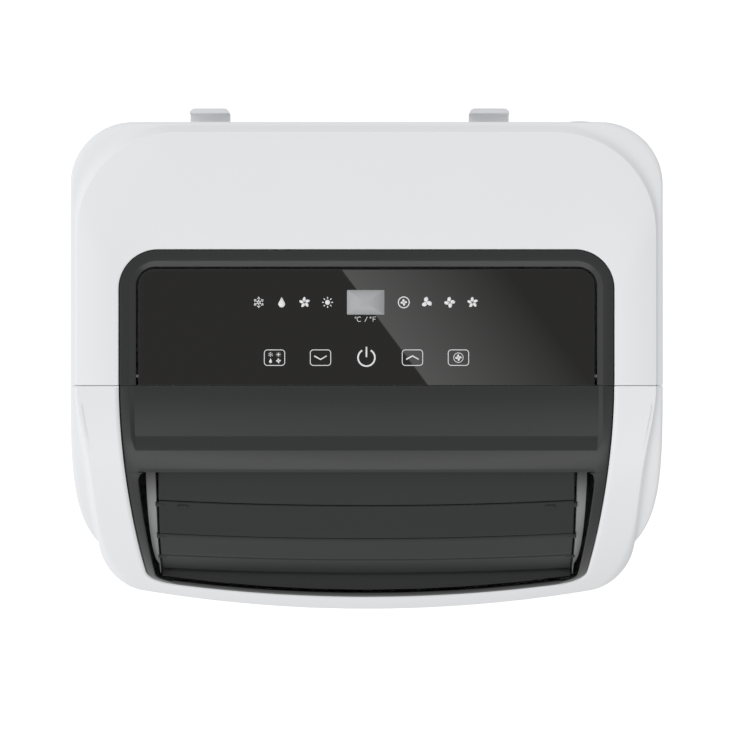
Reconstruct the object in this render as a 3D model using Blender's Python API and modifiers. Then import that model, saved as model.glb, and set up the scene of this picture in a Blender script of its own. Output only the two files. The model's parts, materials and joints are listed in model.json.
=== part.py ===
# Portable air conditioner on castors, built as separate named pieces.
# Metres, +Z up, front towards -Y. The origin is the middle of the whole object's footprint, on the floor.
import math

import bmesh
import bpy
from mathutils import Matrix, Vector

for old in list(bpy.data.objects):
    bpy.data.objects.remove(old, do_unlink=True)

# Driving sizes: casing
BODY_WIDTH = 0.436
BODY_DEPTH = 0.367
HEIGHT = 0.700
HOOK_REACH = 0.032
SEAM_FROM_BACK = 0.194
HOOD_DROP = 0.180
HOOD_HALF = 0.206
HOOD_CROWN = 0.478
SIDE_STEP = 0.023
SIDE_POWER = 4.5
HOOD_POWER = 16
BACK_CORNER = 0.046
EDGE_ROUND = 0.008
WALL = 0.003
CASING_BOTTOM = 0.050
# Driving sizes: dark insert in the top and hood
INSERT_HALF = 0.182
INSERT_TAPER = 0.019
INSERT_BACK = 0.100
INSERT_CORNER = 0.029
FRAME_WALL = 0.004
FRAME_SIDE = 0.0115
FRAME_NARROWING = 0.42
POCKET_DEPTH = 0.0025
GLASS_INSET = 0.0145
GLASS_THICK = 0.0022
POCKET_END_DEG = 12.7
OPENING_BACK_DEG = 21.9
OPENING_LOW_DEG = 66.5
INSERT_LOW_DEG = 68.8
# Driving sizes: louvres
LOUVRES = 4
LOUVRE_HALF = 0.154
LOUVRE_THICK = 0.0024
LOUVRE_BOW = 0.004
LOUVRE_STATIONS = 8
LOUVRE_FIRST_DEG = 21.8
LOUVRE_STEP_DEG = 10.45
LOUVRE_INSETS = (0.0105, 0.0060, 0.0050, 0.0100, 0.0150)
PIN_RADIUS = 0.0020
CRANK = 0.010
CHEEK_THICK = 0.006
# Driving sizes: back of the casing
INTAKE_HALF = 0.150
INTAKE_LOW = 0.375
INTAKE_HIGH = 0.635
GRILLE_HALF = 0.165
GRILLE_LOW = 0.088
GRILLE_HIGH = 0.180
COLLAR_RADIUS = 0.075
EXHAUST_X = -0.014
EXHAUST_Z = 0.270
HOOK_WIDTH = 0.033
HOOK_X = (-0.129, 0.101)
# Driving sizes: running gear
WHEEL_RADIUS = 0.018
WHEEL_WIDTH = 0.016
TRAIL = 0.012
AXLE_RADIUS = 0.0025
STEM_RADIUS = 0.005
CASTOR_X = 0.150
CASTOR_FROM_BACK = 0.045
CASTOR_FROM_FRONT = 0.075
# Driving sizes: inside
TRAY_Z = 0.350
BLOWER_RADIUS = 0.080
BLOWER_Z = 0.462
FAN_RADIUS = 0.062
FAN_Z = 0.155
# Clearances
GAP = 0.0003
FIT = 0.0006

FRONT_Y = -(BODY_DEPTH + HOOK_REACH) / 2
BACK_Y = FRONT_Y + BODY_DEPTH
SEAM_Y = BACK_Y - SEAM_FROM_BACK
HOOD_RUN = SEAM_Y - FRONT_Y
SIDE_RUN = HOOD_RUN - SIDE_STEP
HALF = BODY_WIDTH / 2

assembly = bpy.data.collections.new("portable_air_conditioner")
cutters = bpy.data.collections.new("cutters")
bpy.context.scene.collection.children.link(assembly)
bpy.context.scene.collection.children.link(cutters)

# colour, roughness, metallic
FINISHES = {
    "white_plastic": ((0.78, 0.78, 0.79), 0.35, 0.0),
    "dark_plastic": ((0.042, 0.045, 0.043), 0.4, 0.0),
    "black_glass": ((0.012, 0.011, 0.010), 0.05, 0.0),
    "silver_plastic": ((0.42, 0.42, 0.43), 0.35, 0.0),
    "grey_plastic": ((0.25, 0.25, 0.26), 0.5, 0.0),
    "black_rubber": ((0.02, 0.02, 0.02), 0.8, 0.0),
    "steel": ((0.55, 0.55, 0.56), 0.3, 1.0),
    "copper": ((0.72, 0.33, 0.18), 0.3, 1.0),
    "aluminium": ((0.7, 0.71, 0.72), 0.35, 1.0),
    "black_metal": ((0.015, 0.015, 0.016), 0.4, 0.0),
    "green_board": ((0.02, 0.12, 0.05), 0.5, 0.0),
    "foam_white": ((0.8, 0.8, 0.78), 0.9, 0.0),
}


def finish(obj, kind):
    colour, rough, metal = FINISHES[kind]
    material = bpy.data.materials.new(f"{obj.name}_{kind}")
    material.use_nodes = True
    shader = material.node_tree.nodes["Principled BSDF"]
    shader.inputs["Base Color"].default_value = (*colour, 1.0)
    shader.inputs["Roughness"].default_value = rough
    shader.inputs["Metallic"].default_value = metal
    obj.data.materials.append(material)
    return obj


def add(name, mesh, kind=None):
    """A part when a finish is named, a hidden cutter when not."""
    obj = bpy.data.objects.new(name, mesh)
    if kind:
        assembly.objects.link(obj)
        return finish(obj, kind)
    cutters.objects.link(obj)
    obj.hide_render = True
    obj.display_type = "WIRE"
    return obj


def mesh_from(name, build):
    """A mesh filled by build(bm), with its faces pointing out."""
    bm = bmesh.new()
    build(bm)
    bmesh.ops.recalc_face_normals(bm, faces=bm.faces)
    mesh = bpy.data.meshes.new(name)
    bm.to_mesh(mesh)
    bm.free()
    return mesh


def loft(name, rings, kind=None):
    """A closed solid through rings with the same number of points."""

    def build(bm):
        rows = [[bm.verts.new(p) for p in ring] for ring in rings]
        for a, b in zip(rows, rows[1:]):
            for i in range(len(a)):
                j = (i + 1) % len(a)
                bm.faces.new((a[i], a[j], b[j], b[i]))
        bm.faces.new(rows[0])
        bm.faces.new(rows[-1])
        bmesh.ops.triangulate(bm, faces=bm.faces)

    return add(name, mesh_from(name, build), kind)


def boxes(name, spans, kind=None, bevel=0.0):
    """One mesh of boxes, each given by its low and high corners."""

    def build(bm):
        for low, high in spans:
            low, high = Vector(low), Vector(high)
            cube = bmesh.ops.create_cube(bm, size=1.0)["verts"]
            bmesh.ops.scale(bm, vec=high - low, verts=cube)
            bmesh.ops.translate(bm, vec=(low + high) / 2, verts=cube)

    obj = add(name, mesh_from(name, build), kind)
    if bevel:
        soften(obj, bevel)
    return obj


def box(name, low, high, kind=None, bevel=0.0):
    return boxes(name, [(low, high)], kind, bevel)


def soften(obj, width, segments=2):
    rounding = obj.modifiers.new("soften", "BEVEL")
    rounding.width = width
    rounding.segments = segments
    rounding.limit_method = "ANGLE"


AXIS_TURN = {
    "X": Matrix.Rotation(math.pi / 2, 4, "Y"),
    "Y": Matrix.Rotation(-math.pi / 2, 4, "X"),
    "Z": Matrix.Identity(4),
}


def cylinders(name, spans, axis, kind=None, sides=20):
    """One mesh of cylinders, each given by centre, radius and length along the axis."""

    def build(bm):
        for centre, radius, length in spans:
            place = Matrix.Translation(centre) @ AXIS_TURN[axis]
            bmesh.ops.create_cone(
                bm, cap_ends=True, segments=sides, radius1=radius, radius2=radius, depth=length, matrix=place
            )

    return add(name, mesh_from(name, build), kind)


def cylinder(name, centre, radius, length, axis, kind=None, sides=20):
    return cylinders(name, [(centre, radius, length)], axis, kind, sides)


def turned(name, centre, axis, profile, kind=None, steps=20):
    """A Screw solid. The profile is (radius, height), from the top, down the outside, to the foot."""
    mesh = bpy.data.meshes.new(name)
    count = len(profile)
    hollow = profile[0][0] > 0
    edges = [(i, (i + 1) % count) for i in range(count if hollow else count - 1)]
    mesh.from_pydata([(r, 0, h) for r, h in profile], edges, [])
    obj = add(name, mesh, kind)
    obj.matrix_world = Matrix.Translation(centre) @ AXIS_TURN[axis]
    screw = obj.modifiers.new("turn", "SCREW")
    screw.steps = steps
    screw.render_steps = steps
    screw.use_merge_vertices = True
    screw.merge_threshold = 0.00001
    return obj


PLANE_TURN = {
    "XY": Matrix.Identity(4),
    "XZ": Matrix.Rotation(math.pi / 2, 4, "X"),
    "YZ": Matrix.Rotation(math.pi / 2, 4, "Z") @ Matrix.Rotation(math.pi / 2, 4, "X"),
}
PLANE_NORMAL = {"XY": Vector((0, 0, 1)), "XZ": Vector((0, 1, 0)), "YZ": Vector((1, 0, 0))}


def outline_solid(name, outline, plane, low, high, kind=None):
    """A flat outline extruded from low to high across its plane."""
    curve = bpy.data.curves.new(name, "CURVE")
    curve.dimensions = "2D"
    curve.fill_mode = "BOTH"
    curve.extrude = (high - low) / 2
    line = curve.splines.new("POLY")
    line.points.add(len(outline) - 1)
    for point, (u, v) in zip(line.points, outline):
        point.co = (u, v, 0, 1)
    line.use_cyclic_u = True
    shape = bpy.data.objects.new(name, curve)
    cutters.objects.link(shape)
    shape.matrix_world = Matrix.Translation(PLANE_NORMAL[plane] * (low + high) / 2) @ PLANE_TURN[plane]
    bpy.context.view_layer.update()
    mesh = bpy.data.meshes.new_from_object(shape.evaluated_get(bpy.context.evaluated_depsgraph_get()))
    place = shape.matrix_world.copy()
    bpy.data.objects.remove(shape)
    bm = bmesh.new()
    bm.from_mesh(mesh)
    bmesh.ops.remove_doubles(bm, verts=bm.verts, dist=0.00001)
    bmesh.ops.recalc_face_normals(bm, faces=bm.faces)
    bm.to_mesh(mesh)
    bm.free()
    mesh.materials.clear()
    obj = add(name, mesh, kind)
    obj.matrix_world = place
    return obj


def pipe(name, points, radius, kind):
    """A round tube along a smoothed route."""
    curve = bpy.data.curves.new(name, "CURVE")
    curve.dimensions = "3D"
    curve.bevel_depth = radius
    curve.bevel_resolution = 1
    curve.use_fill_caps = True
    curve.resolution_u = 4
    line = curve.splines.new("BEZIER")
    line.bezier_points.add(len(points) - 1)
    for knot, place in zip(line.bezier_points, points):
        knot.co = place
        knot.handle_left_type = "AUTO"
        knot.handle_right_type = "AUTO"
    return add(name, curve, kind)


def combine(obj, other, operation):
    step = obj.modifiers.new(operation.lower(), "BOOLEAN")
    step.operation = operation
    step.object = other
    step.solver = "EXACT"
    return obj


def cut(obj, *others):
    for other in others:
        combine(obj, other, "DIFFERENCE")
    return obj


def join(obj, *others):
    for other in others:
        combine(obj, other, "UNION")
    return obj


def keep(obj, *others):
    for other in others:
        combine(obj, other, "INTERSECT")
    return obj


def pivot(name, place, *pieces):
    """An empty on the joint's axis, with its pieces under it."""
    empty = bpy.data.objects.new(name, None)
    assembly.objects.link(empty)
    empty.location = place
    bpy.context.view_layer.update()
    for piece in pieces:
        piece.parent = empty
        piece.matrix_parent_inverse = empty.matrix_world.inverted()


def arc(centre, radius, start_deg, end_deg, count):
    step = (end_deg - start_deg) / count
    angles = [math.radians(start_deg + step * i) for i in range(count + 1)]
    return [(centre[0] + radius * math.cos(a), centre[1] + radius * math.sin(a)) for a in angles]


def mirrored(outline):
    """The outline's points, then their mirror images in the reverse order."""
    return outline + [(-u, v) for u, v in reversed(outline) if abs(u) > 1e-6]


# Casing surface: level rings that shrink towards the seam over the hood


def superellipse(x, half, power):
    return max(0.0, 1 - min(1.0, abs(x) / half) ** power) ** (1 / power)


def front_reach(x, inset=0.0):
    """How far ahead of the seam the casing's full section reaches at this x."""
    side = (SIDE_RUN - inset) * superellipse(x, HALF - inset, SIDE_POWER)
    hood = (HOOD_RUN - inset) * superellipse(x, HOOD_HALF - inset, HOOD_POWER) - HOOD_CROWN * x * x
    return max(side, hood)


def hood_point(angle_deg, inset=0.0, x=0.0):
    """(y, z) on the hood at this angle down from the top."""
    angle = math.radians(angle_deg)
    y = SEAM_Y - math.sin(angle) * front_reach(x, inset)
    return y, HEIGHT - HOOD_DROP + (HOOD_DROP - inset) * math.cos(angle)


def edge_inset(drop):
    if drop >= EDGE_ROUND:
        return 0.0
    return EDGE_ROUND - math.sqrt(EDGE_ROUND**2 - (EDGE_ROUND - drop) ** 2)


AROUND = 24
HOOD_LEVELS = (2, 8, 16, 24, 32, 40, 48, 56, 64, 72, 81, 90)


def front_curve(inset, shrink=0.0, share=1.0, base=None):
    """The front half's plan curve from +X to -X, for one level."""
    half = HALF - inset
    start = SEAM_Y if base is None else base
    points = []
    for i in range(AROUND + 1):
        spread = abs(math.cos(math.pi * i / AROUND)) ** (2 / SIDE_POWER)
        x = half * math.copysign(spread, AROUND - 2 * i)
        x = 0.0 if 2 * i == AROUND else x
        points.append((x * (half - shrink) / half, min(start, SEAM_Y - share * front_reach(x, inset))))
    return points


def front_solid(name, inset, back_y, kind=None, bottom=CASING_BOTTOM):
    base = min(back_y, SEAM_Y)
    rings = []
    for angle_deg in HOOD_LEVELS:
        angle = math.radians(angle_deg)
        z = HEIGHT - HOOD_DROP + (HOOD_DROP - inset) * math.cos(angle)
        curve = front_curve(inset, edge_inset(HEIGHT - inset - z), math.sin(angle), base)
        rings.append([(x, y, z) for x, y in curve])
    rings.append([(x, y, bottom) for x, y, _ in rings[-1]])
    if back_y > SEAM_Y:
        rings = [r + [(r[-1][0], back_y, r[-1][2]), (r[0][0], back_y, r[0][2])] for r in rings]
    return loft(name, rings, kind)


def rear_curve(inset, base):
    half = HALF - inset
    radius = BACK_CORNER - inset
    corner = arc((half - radius, BACK_Y - inset - radius), radius, 0, 90, 6)
    return mirrored([(half, base)] + corner)


def rear_solid(name, inset, front_y, kind=None, bottom=CASING_BOTTOM):
    rings = []
    for angle in (90, 60, 30, 0):
        shrink = EDGE_ROUND * (1 - math.cos(math.radians(angle)))
        z = HEIGHT - inset - EDGE_ROUND * (1 - math.sin(math.radians(angle)))
        rings.append([(x, y, z) for x, y in rear_curve(inset + shrink, front_y)])
    rings.append([(x, y, bottom) for x, y in rear_curve(inset, front_y)])
    return loft(name, rings, kind)


def plan_outline(inset):
    """The whole body's plan, inset by this much."""
    return front_curve(inset) + list(reversed(rear_curve(inset, SEAM_Y + 0.001)))


# Dark insert: outlines seen from above


def insert_half(reach, margin):
    share = max(0.0, reach) / HOOD_RUN
    return INSERT_HALF - margin * (1 - FRAME_NARROWING * share) - INSERT_TAPER * share**1.8


def insert_front(margin, start_deg, end_deg):
    """Plan of the insert's front part between two hood angles."""
    first = HOOD_RUN * math.sin(math.radians(start_deg)) if start_deg else 0.0
    low = math.sin(math.radians(end_deg))
    reach = HOOD_RUN * low
    side = []
    for share in (0.0, 0.3, 0.55, 0.75, 0.88):
        q = first + (reach * 0.97 - first) * share
        side.append((insert_half(q, margin), SEAM_Y - q))
    half = insert_half(reach, margin)
    bottom = []
    for share in (0.93, 0.75, 0.5, 0.25, 0.0):
        x = half * share
        bottom.append((x, SEAM_Y - reach + low * HOOD_CROWN * x * x))
    return mirrored(side + bottom)


def insert_rear(margin, corner):
    half = INSERT_HALF - margin
    back = SEAM_Y + INSERT_BACK - margin
    return mirrored([(half, SEAM_Y)] + arc((half - corner, back - corner), corner, 0, 90, 5))


SIDES = (("left", -1), ("right", 1))
HIGH = HEIGHT + 0.02
LOW = HEIGHT - HOOD_DROP

# Casing shells
front_shell = front_solid("front_shell", 0.0, SEAM_Y - GAP / 2, "white_plastic")
front_core = front_solid("front_core", WALL, SEAM_Y + 0.02, bottom=CASING_BOTTOM - 0.01)
insert_hole = outline_solid("insert_hole", insert_front(0, None, INSERT_LOW_DEG), "XY", LOW, HIGH)
seam_hole = box("seam_hole", (-INSERT_HALF, SEAM_Y - 0.012, LOW), (INSERT_HALF, SEAM_Y + 0.01, HIGH))
cut(front_shell, front_core, insert_hole, seam_hole)

rear_shell = rear_solid("rear_shell", 0.0, SEAM_Y + GAP / 2, "white_plastic")
rear_core = rear_solid("rear_core", WALL, SEAM_Y - 0.02, bottom=CASING_BOTTOM - 0.01)
bezel_hole = outline_solid("bezel_hole", insert_rear(0, INSERT_CORNER), "XY", LOW, HIGH)
bezel_hole_seam = box(
    "bezel_hole_seam", (-INSERT_HALF, SEAM_Y - 0.01, LOW), (INSERT_HALF, SEAM_Y + 0.01, HIGH)
)
wall_in = BACK_Y - WALL - 0.02
wall_out = BACK_Y + 0.02
intake_hole = box("intake_hole", (-INTAKE_HALF, wall_in, INTAKE_LOW), (INTAKE_HALF, wall_out, INTAKE_HIGH))
grille_hole = box("grille_hole", (-GRILLE_HALF, wall_in, GRILLE_LOW), (GRILLE_HALF, wall_out, GRILLE_HIGH))
exhaust_centre = (EXHAUST_X, BACK_Y, EXHAUST_Z)
exhaust_hole = cylinder("exhaust_hole", exhaust_centre, COLLAR_RADIUS + FIT, 0.06, "Y", sides=32)
DRAINS = {"upper": (0.172, TRAY_Z + 0.009), "lower": (0.185, 0.072)}
DRAIN_RADIUS = 0.0075
GLAND = (-0.165, 0.225)
GLAND_RADIUS = 0.0075
drain_holes = cylinders(
    "drain_holes",
    [((x, BACK_Y, z), DRAIN_RADIUS + FIT, 0.05) for x, z in (*DRAINS.values(), GLAND)],
    "Y",
    sides=16,
)
HANDLE_Y = BACK_Y - 0.120
HANDLE_LONG = 0.120
HANDLE_TALL = 0.034
HANDLE_DEEP = 0.026
HANDLE_Z = 0.600


def handle_outline(margin):
    radius = HANDLE_TALL / 2 - margin
    reach = HANDLE_LONG / 2 - margin - radius
    right = arc((HANDLE_Y + reach, HANDLE_Z), radius, -90, 90, 5)
    left = arc((HANDLE_Y - reach, HANDLE_Z), radius, 90, 270, 5)
    return right + left


handle_holes = outline_solid("handle_holes", handle_outline(0), "YZ", -HALF - 0.02, HALF + 0.02)
cut(rear_shell, rear_core, bezel_hole, bezel_hole_seam, intake_hole, grille_hole)
cut(rear_shell, exhaust_hole, drain_holes, handle_holes)

for side, sign in SIDES:
    outer = sign * (HALF - GAP)
    deep = sign * (HALF - HANDLE_DEEP)
    floor = deep + sign * 0.002
    span = sorted((outer, deep))
    cup = outline_solid(f"handle_cup_{side}", handle_outline(FIT), "YZ", *span, "grey_plastic")
    span = sorted((sign * (HALF + 0.02), floor))
    cut(cup, outline_solid(f"handle_hollow_{side}", handle_outline(FIT + 0.002), "YZ", *span))

# Base pan: a tray that closes the casing from below
BASE_BOTTOM = CASING_BOTTOM - 0.0035
BASE_FLOOR = 0.004
TRAY_WALL = 0.0025
pan_outline = plan_outline(WALL + FIT)
pan_inside = plan_outline(WALL + FIT + TRAY_WALL)
pan_top = CASING_BOTTOM + 0.022
base_pan = outline_solid("base_pan", pan_outline, "XY", BASE_BOTTOM, pan_top, "grey_plastic")
base_hollow = outline_solid("base_hollow", pan_inside, "XY", BASE_BOTTOM + BASE_FLOOR, 0.09)
CASTORS = {
    "rear_left": (-CASTOR_X, BACK_Y - CASTOR_FROM_BACK),
    "rear_right": (CASTOR_X, BACK_Y - CASTOR_FROM_BACK),
    "front_left": (-CASTOR_X, FRONT_Y + CASTOR_FROM_FRONT),
    "front_right": (CASTOR_X, FRONT_Y + CASTOR_FROM_FRONT),
}
stem_holes = cylinders(
    "stem_holes",
    [((x, y, BASE_BOTTOM), STEM_RADIUS + GAP, 0.03) for x, y in CASTORS.values()],
    "Z",
    sides=16
)
drain_slot = box(
    "drain_slot",
    (DRAINS["lower"][0] - 0.012, BACK_Y - 0.02, 0.058),
    (DRAINS["lower"][0] + 0.012, BACK_Y, 0.09),
)
cut(base_pan, base_hollow, stem_holes, drain_slot)

# Castors
for corner, (x, y) in CASTORS.items():
    axle_y = y + TRAIL
    plate_top = BASE_BOTTOM - GAP
    fork_half = WHEEL_WIDTH / 2 + 0.001 + 0.0025
    fork_rear = axle_y + 0.006
    fork_low = WHEEL_RADIUS - 0.006
    fork = box(
        f"castor_fork_{corner}",
        (x - fork_half, y - 0.010, fork_low),
        (x + fork_half, fork_rear, plate_top - 0.001),
        "black_metal",
    )
    well = cylinder(
        f"castor_well_{corner}",
        (x, axle_y, WHEEL_RADIUS),
        WHEEL_RADIUS + 0.0015,
        WHEEL_WIDTH + 0.002,
        "X",
        sides=20
    )
    clear = box(
        f"castor_clear_{corner}",
        (x - WHEEL_WIDTH / 2 - 0.001, y - 0.02, 0),
        (x + WHEEL_WIDTH / 2 + 0.001, axle_y + 0.02, WHEEL_RADIUS),
    )
    disc = cylinder(f"castor_disc_{corner}", (x, y, plate_top - 0.002), 0.015, 0.004, "Z")
    stem = cylinder(f"castor_stem_{corner}", (x, y, plate_top + 0.003), STEM_RADIUS, 0.014, "Z", sides=16)
    bore = cylinder(
        f"castor_bore_{corner}", (x, axle_y, WHEEL_RADIUS), AXLE_RADIUS + GAP, 0.04, "X", sides=12
    )
    join(fork, disc, stem)
    cut(fork, well, clear, bore)
    rim = WHEEL_RADIUS
    hub = AXLE_RADIUS + GAP
    half = WHEEL_WIDTH / 2
    wheel = turned(
        f"castor_wheel_{corner}",
        (x, axle_y, WHEEL_RADIUS),
        "X",
        [
            (hub, half),
            (rim - 0.002, half),
            (rim, half - 0.002),
            (rim, 0.002 - half),
            (rim - 0.002, -half),
            (hub, -half),
        ],
        "black_rubber",
        24,
    )
    axle = cylinder(
        f"castor_axle_{corner}",
        (x, axle_y, WHEEL_RADIUS),
        AXLE_RADIUS,
        2 * fork_half,
        "X",
        "steel",
        sides=12
    )
    pivot(f"castor_swivel_{corner}", (x, y, plate_top), fork, axle)
    pivot(f"castor_roll_{corner}", (x, axle_y, WHEEL_RADIUS), wheel)

# Control bezel, glass, tray and board
PLATE_LOW = HEIGHT - WALL
control_bezel = outline_solid(
    "control_bezel", insert_rear(FIT, INSERT_CORNER - FIT), "XY", PLATE_LOW, HEIGHT, "dark_plastic"
)
bezel_seam = box("bezel_seam", (-HALF, SEAM_Y - 0.01, LOW), (HALF, SEAM_Y + GAP / 2, HIGH))
glass_corner = 0.012
glass_window = outline_solid("glass_window", insert_rear(GLASS_INSET - GAP, glass_corner), "XY", LOW, HIGH)
glass_seam = box(
    "glass_seam",
    (-INSERT_HALF + GLASS_INSET - GAP, SEAM_Y - 0.01, LOW),
    (INSERT_HALF - GLASS_INSET + GAP, SEAM_Y + 0.01, HIGH)
)
cut(control_bezel, bezel_seam, glass_window, glass_seam)
GLASS_TOP = HEIGHT - 0.0008
control_glass = outline_solid(
    "control_glass",
    insert_rear(GLASS_INSET, glass_corner),
    "XY",
    GLASS_TOP - GLASS_THICK,
    GLASS_TOP,
    "black_glass"
)
cut(control_glass, bezel_seam)
TRAY_TOP = min(PLATE_LOW, GLASS_TOP - GLASS_THICK) - GAP
tray_half = INSERT_HALF - 0.010
tray_back = SEAM_Y + INSERT_BACK - 0.010
control_tray = box(
    "control_tray",
    (-tray_half, SEAM_Y + 0.006, TRAY_TOP - 0.022),
    (tray_half, tray_back, TRAY_TOP),
    "grey_plastic"
)
tray_wall = 0.002
cut(
    control_tray,
    box(
        "control_tray_hollow",
        (-tray_half + tray_wall, SEAM_Y + 0.006 + tray_wall, TRAY_TOP - 0.022 + tray_wall),
        (tray_half - tray_wall, tray_back - tray_wall, HEIGHT),
    ),
)
control_board = box(
    "control_board",
    (-tray_half + 0.012, SEAM_Y + 0.016, TRAY_TOP - 0.012),
    (tray_half - 0.012, tray_back - 0.010, TRAY_TOP - 0.0104),
    "green_board",
)

# Outlet frame: the dark band over the hood, with the recess and the opening
outlet_frame = front_solid("outlet_frame", 0.0, SEAM_Y - GAP / 2, "dark_plastic", bottom=LOW - 0.02)
frame_plan = outline_solid("frame_plan", insert_front(FIT, None, INSERT_LOW_DEG - 0.3), "XY", LOW, HIGH)
frame_core = front_solid("frame_core", FRAME_WALL, SEAM_Y + 0.02, bottom=LOW - 0.04)
outlet_hole = outline_solid(
    "outlet_hole", insert_front(FRAME_SIDE, OPENING_BACK_DEG, OPENING_LOW_DEG), "XY", LOW - 0.01, HIGH
)
pocket = outline_solid("pocket", insert_front(FRAME_SIDE, None, POCKET_END_DEG), "XY", LOW, HIGH)
pocket_floor = front_solid("pocket_floor", POCKET_DEPTH, SEAM_Y + 0.02, bottom=LOW - 0.02)
pocket_step = cut(pocket, pocket_floor)
keep(outlet_frame, frame_plan)
cut(outlet_frame, frame_core, outlet_hole, pocket_step)

# Louvre line: blade edges on the hood's curve, set in by the given insets


def louvre_edge(index):
    return hood_point(LOUVRE_FIRST_DEG + LOUVRE_STEP_DEG * index, LOUVRE_INSETS[index])


def toward(a, b, distance):
    """The point this far from a on the way to b."""
    length = math.dist(a, b)
    return a[0] + (b[0] - a[0]) * distance / length, a[1] + (b[1] - a[1]) * distance / length


edges = []
for index in range(LOUVRES + 1):
    y, z = louvre_edge(index)
    edges.append((y + LOUVRE_BOW, z))
PIVOT_IN = 0.0035
louvre_pivots = [toward(edges[i], edges[i + 1], PIVOT_IN) for i in range(LOUVRES)]
middle = math.atan2(edges[-1][1] - edges[0][1], edges[-1][0] - edges[0][0])
crank_sign = -1 if math.cos(middle) > 0 else 1
crank = (-math.sin(middle) * crank_sign * CRANK, math.cos(middle) * crank_sign * CRANK)
crank_points = [(y + crank[0], z + crank[1]) for y, z in louvre_pivots]
STRAP_X = 0.019 - LOUVRE_HALF
STRAP_THICK = 0.002
STRAP_HALF = 0.0032
CHEEK_IN = LOUVRE_HALF + 0.0015
CHEEK_OUT = CHEEK_IN + CHEEK_THICK
PIN_END = CHEEK_OUT - 0.001

for index in range(LOUVRES):
    upper = edges[index]
    lower = toward(edges[index + 1], upper, 0.001)
    length = math.dist(upper, lower)
    along = ((lower[0] - upper[0]) / length, (lower[1] - upper[1]) / length)
    across = (-along[1], along[0])
    if across[1] < 0:
        across = (-across[0], -across[1])
    half = LOUVRE_THICK / 2
    section = [(0.001, half), (length - 0.001, half), (length, 0.3 * half), (length, -0.3 * half)]
    section += [(length - 0.001, -half), (0.001, -half), (0, -0.3 * half), (0, 0.3 * half)]
    rings = []
    for step in range(LOUVRE_STATIONS + 1):
        share = 2 * step / LOUVRE_STATIONS - 1
        bow = LOUVRE_BOW * (1 - share * share)
        rings.append(
            [
                (
                    LOUVRE_HALF * share,
                    upper[0] + along[0] * s + across[0] * t - bow,
                    upper[1] + along[1] * s + across[1] * t,
                )
                for s, t in section
            ]
        )
    blade = loft(f"louvre_{index + 1}", rings, "dark_plastic")
    py, pz = louvre_pivots[index]
    cy, cz = crank_points[index]
    pin_long = PIN_END - LOUVRE_HALF + 0.004
    pins = [((s * (PIN_END - pin_long / 2), py, pz), PIN_RADIUS, pin_long) for _, s in SIDES]
    ear_half = 0.0026
    reach = (crank[0] / CRANK, crank[1] / CRANK)
    side = (-reach[1], reach[0])
    ear_from = (py - LOUVRE_BOW * (1 - (STRAP_X / LOUVRE_HALF) ** 2) * 0.5, pz)
    ear = [
        (ear_from[0] + side[0] * ear_half, ear_from[1] + side[1] * ear_half),
        (ear_from[0] - side[0] * ear_half, ear_from[1] - side[1] * ear_half),
        (cy + (reach[0] - side[0]) * ear_half, cz + (reach[1] - side[1]) * ear_half),
        (cy + (reach[0] + side[0]) * ear_half, cz + (reach[1] + side[1]) * ear_half),
    ]
    ear_low = STRAP_X + STRAP_THICK / 2 + 0.0005
    ear_solid = outline_solid(f"louvre_ear_{index + 1}", ear, "YZ", ear_low, ear_low + 0.0025)
    peg = ((STRAP_X + 0.0012, cy, cz), 0.0012, 0.0060)
    join(blade, ear_solid, cylinders(f"louvre_pins_{index + 1}", pins, "X", sides=12))
    join(blade, cylinders(f"louvre_peg_{index + 1}", [peg], "X", sides=10))
    pivot(f"louvre_axis_{index + 1}", (0, py, pz), blade)

# Strap that turns the louvres together
strap_up, strap_down = [], []
for index, (y, z) in enumerate(crank_points):
    before = crank_points[max(0, index - 1)]
    after = crank_points[min(LOUVRES - 1, index + 1)]
    length = math.dist(before, after)
    ny, nz = -(after[1] - before[1]) / length, (after[0] - before[0]) / length
    strap_up.append((y + ny * STRAP_HALF, z + nz * STRAP_HALF))
    strap_down.append((y - ny * STRAP_HALF, z - nz * STRAP_HALF))


def stretched(line, distance):
    """The line with both ends carried on by this distance."""
    return [toward(line[0], line[1], -distance)] + line[1:-1] + [toward(line[-1], line[-2], -distance)]


strap_line = stretched(strap_up, STRAP_HALF) + list(reversed(stretched(strap_down, STRAP_HALF)))
strap_low = STRAP_X - STRAP_THICK / 2
louvre_link = outline_solid(
    "louvre_link", strap_line, "YZ", strap_low, strap_low + STRAP_THICK, "grey_plastic"
)
cut(
    louvre_link,
    cylinders("strap_holes", [((STRAP_X, y, z), 0.0017, 0.01) for y, z in crank_points], "X", sides=12),
)
pivot("louvre_link_axis", (STRAP_X, *crank_points[0]), louvre_link)

# Cheeks that carry the louvre pins
cheek_angles = [LOUVRE_FIRST_DEG - 1 + 4.6 * i for i in range(11)]
cheek_top = [hood_point(a, FRAME_WALL + 0.0012, CHEEK_OUT) for a in cheek_angles]
cheek_low = [(y + 0.020, z - 0.012) for y, z in cheek_top]
for side, sign in SIDES:
    span = sorted((sign * CHEEK_IN, sign * CHEEK_OUT))
    cheek = outline_solid(
        f"outlet_cheek_{side}", cheek_top + list(reversed(cheek_low)), "YZ", *span, "silver_plastic"
    )
    holes = [((sign * (CHEEK_IN + CHEEK_OUT) / 2, y, z), PIN_RADIUS + GAP, 0.02) for y, z in louvre_pivots]
    cut(cheek, cylinders(f"cheek_holes_{side}", holes, "X", sides=12))

motor_y, motor_z = louvre_pivots[0]
motor_x = CHEEK_OUT + 0.002
louvre_motor = turned(
    "louvre_motor",
    (motor_x, motor_y + 0.008, motor_z - 0.016),
    "X",
    [(0.0, 0.018), (0.010, 0.018), (0.011, 0.017), (0.011, 0.0), (0.0, 0.0)],
    "steel",
    16,
)

# Outlet duct: widens from the blower's throat to the louvres
DUCT_WALL = 0.002
THROAT = ((-0.120, 0.030), (SEAM_Y - 0.125, SEAM_Y - 0.068), BLOWER_Z + 0.116)


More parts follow.
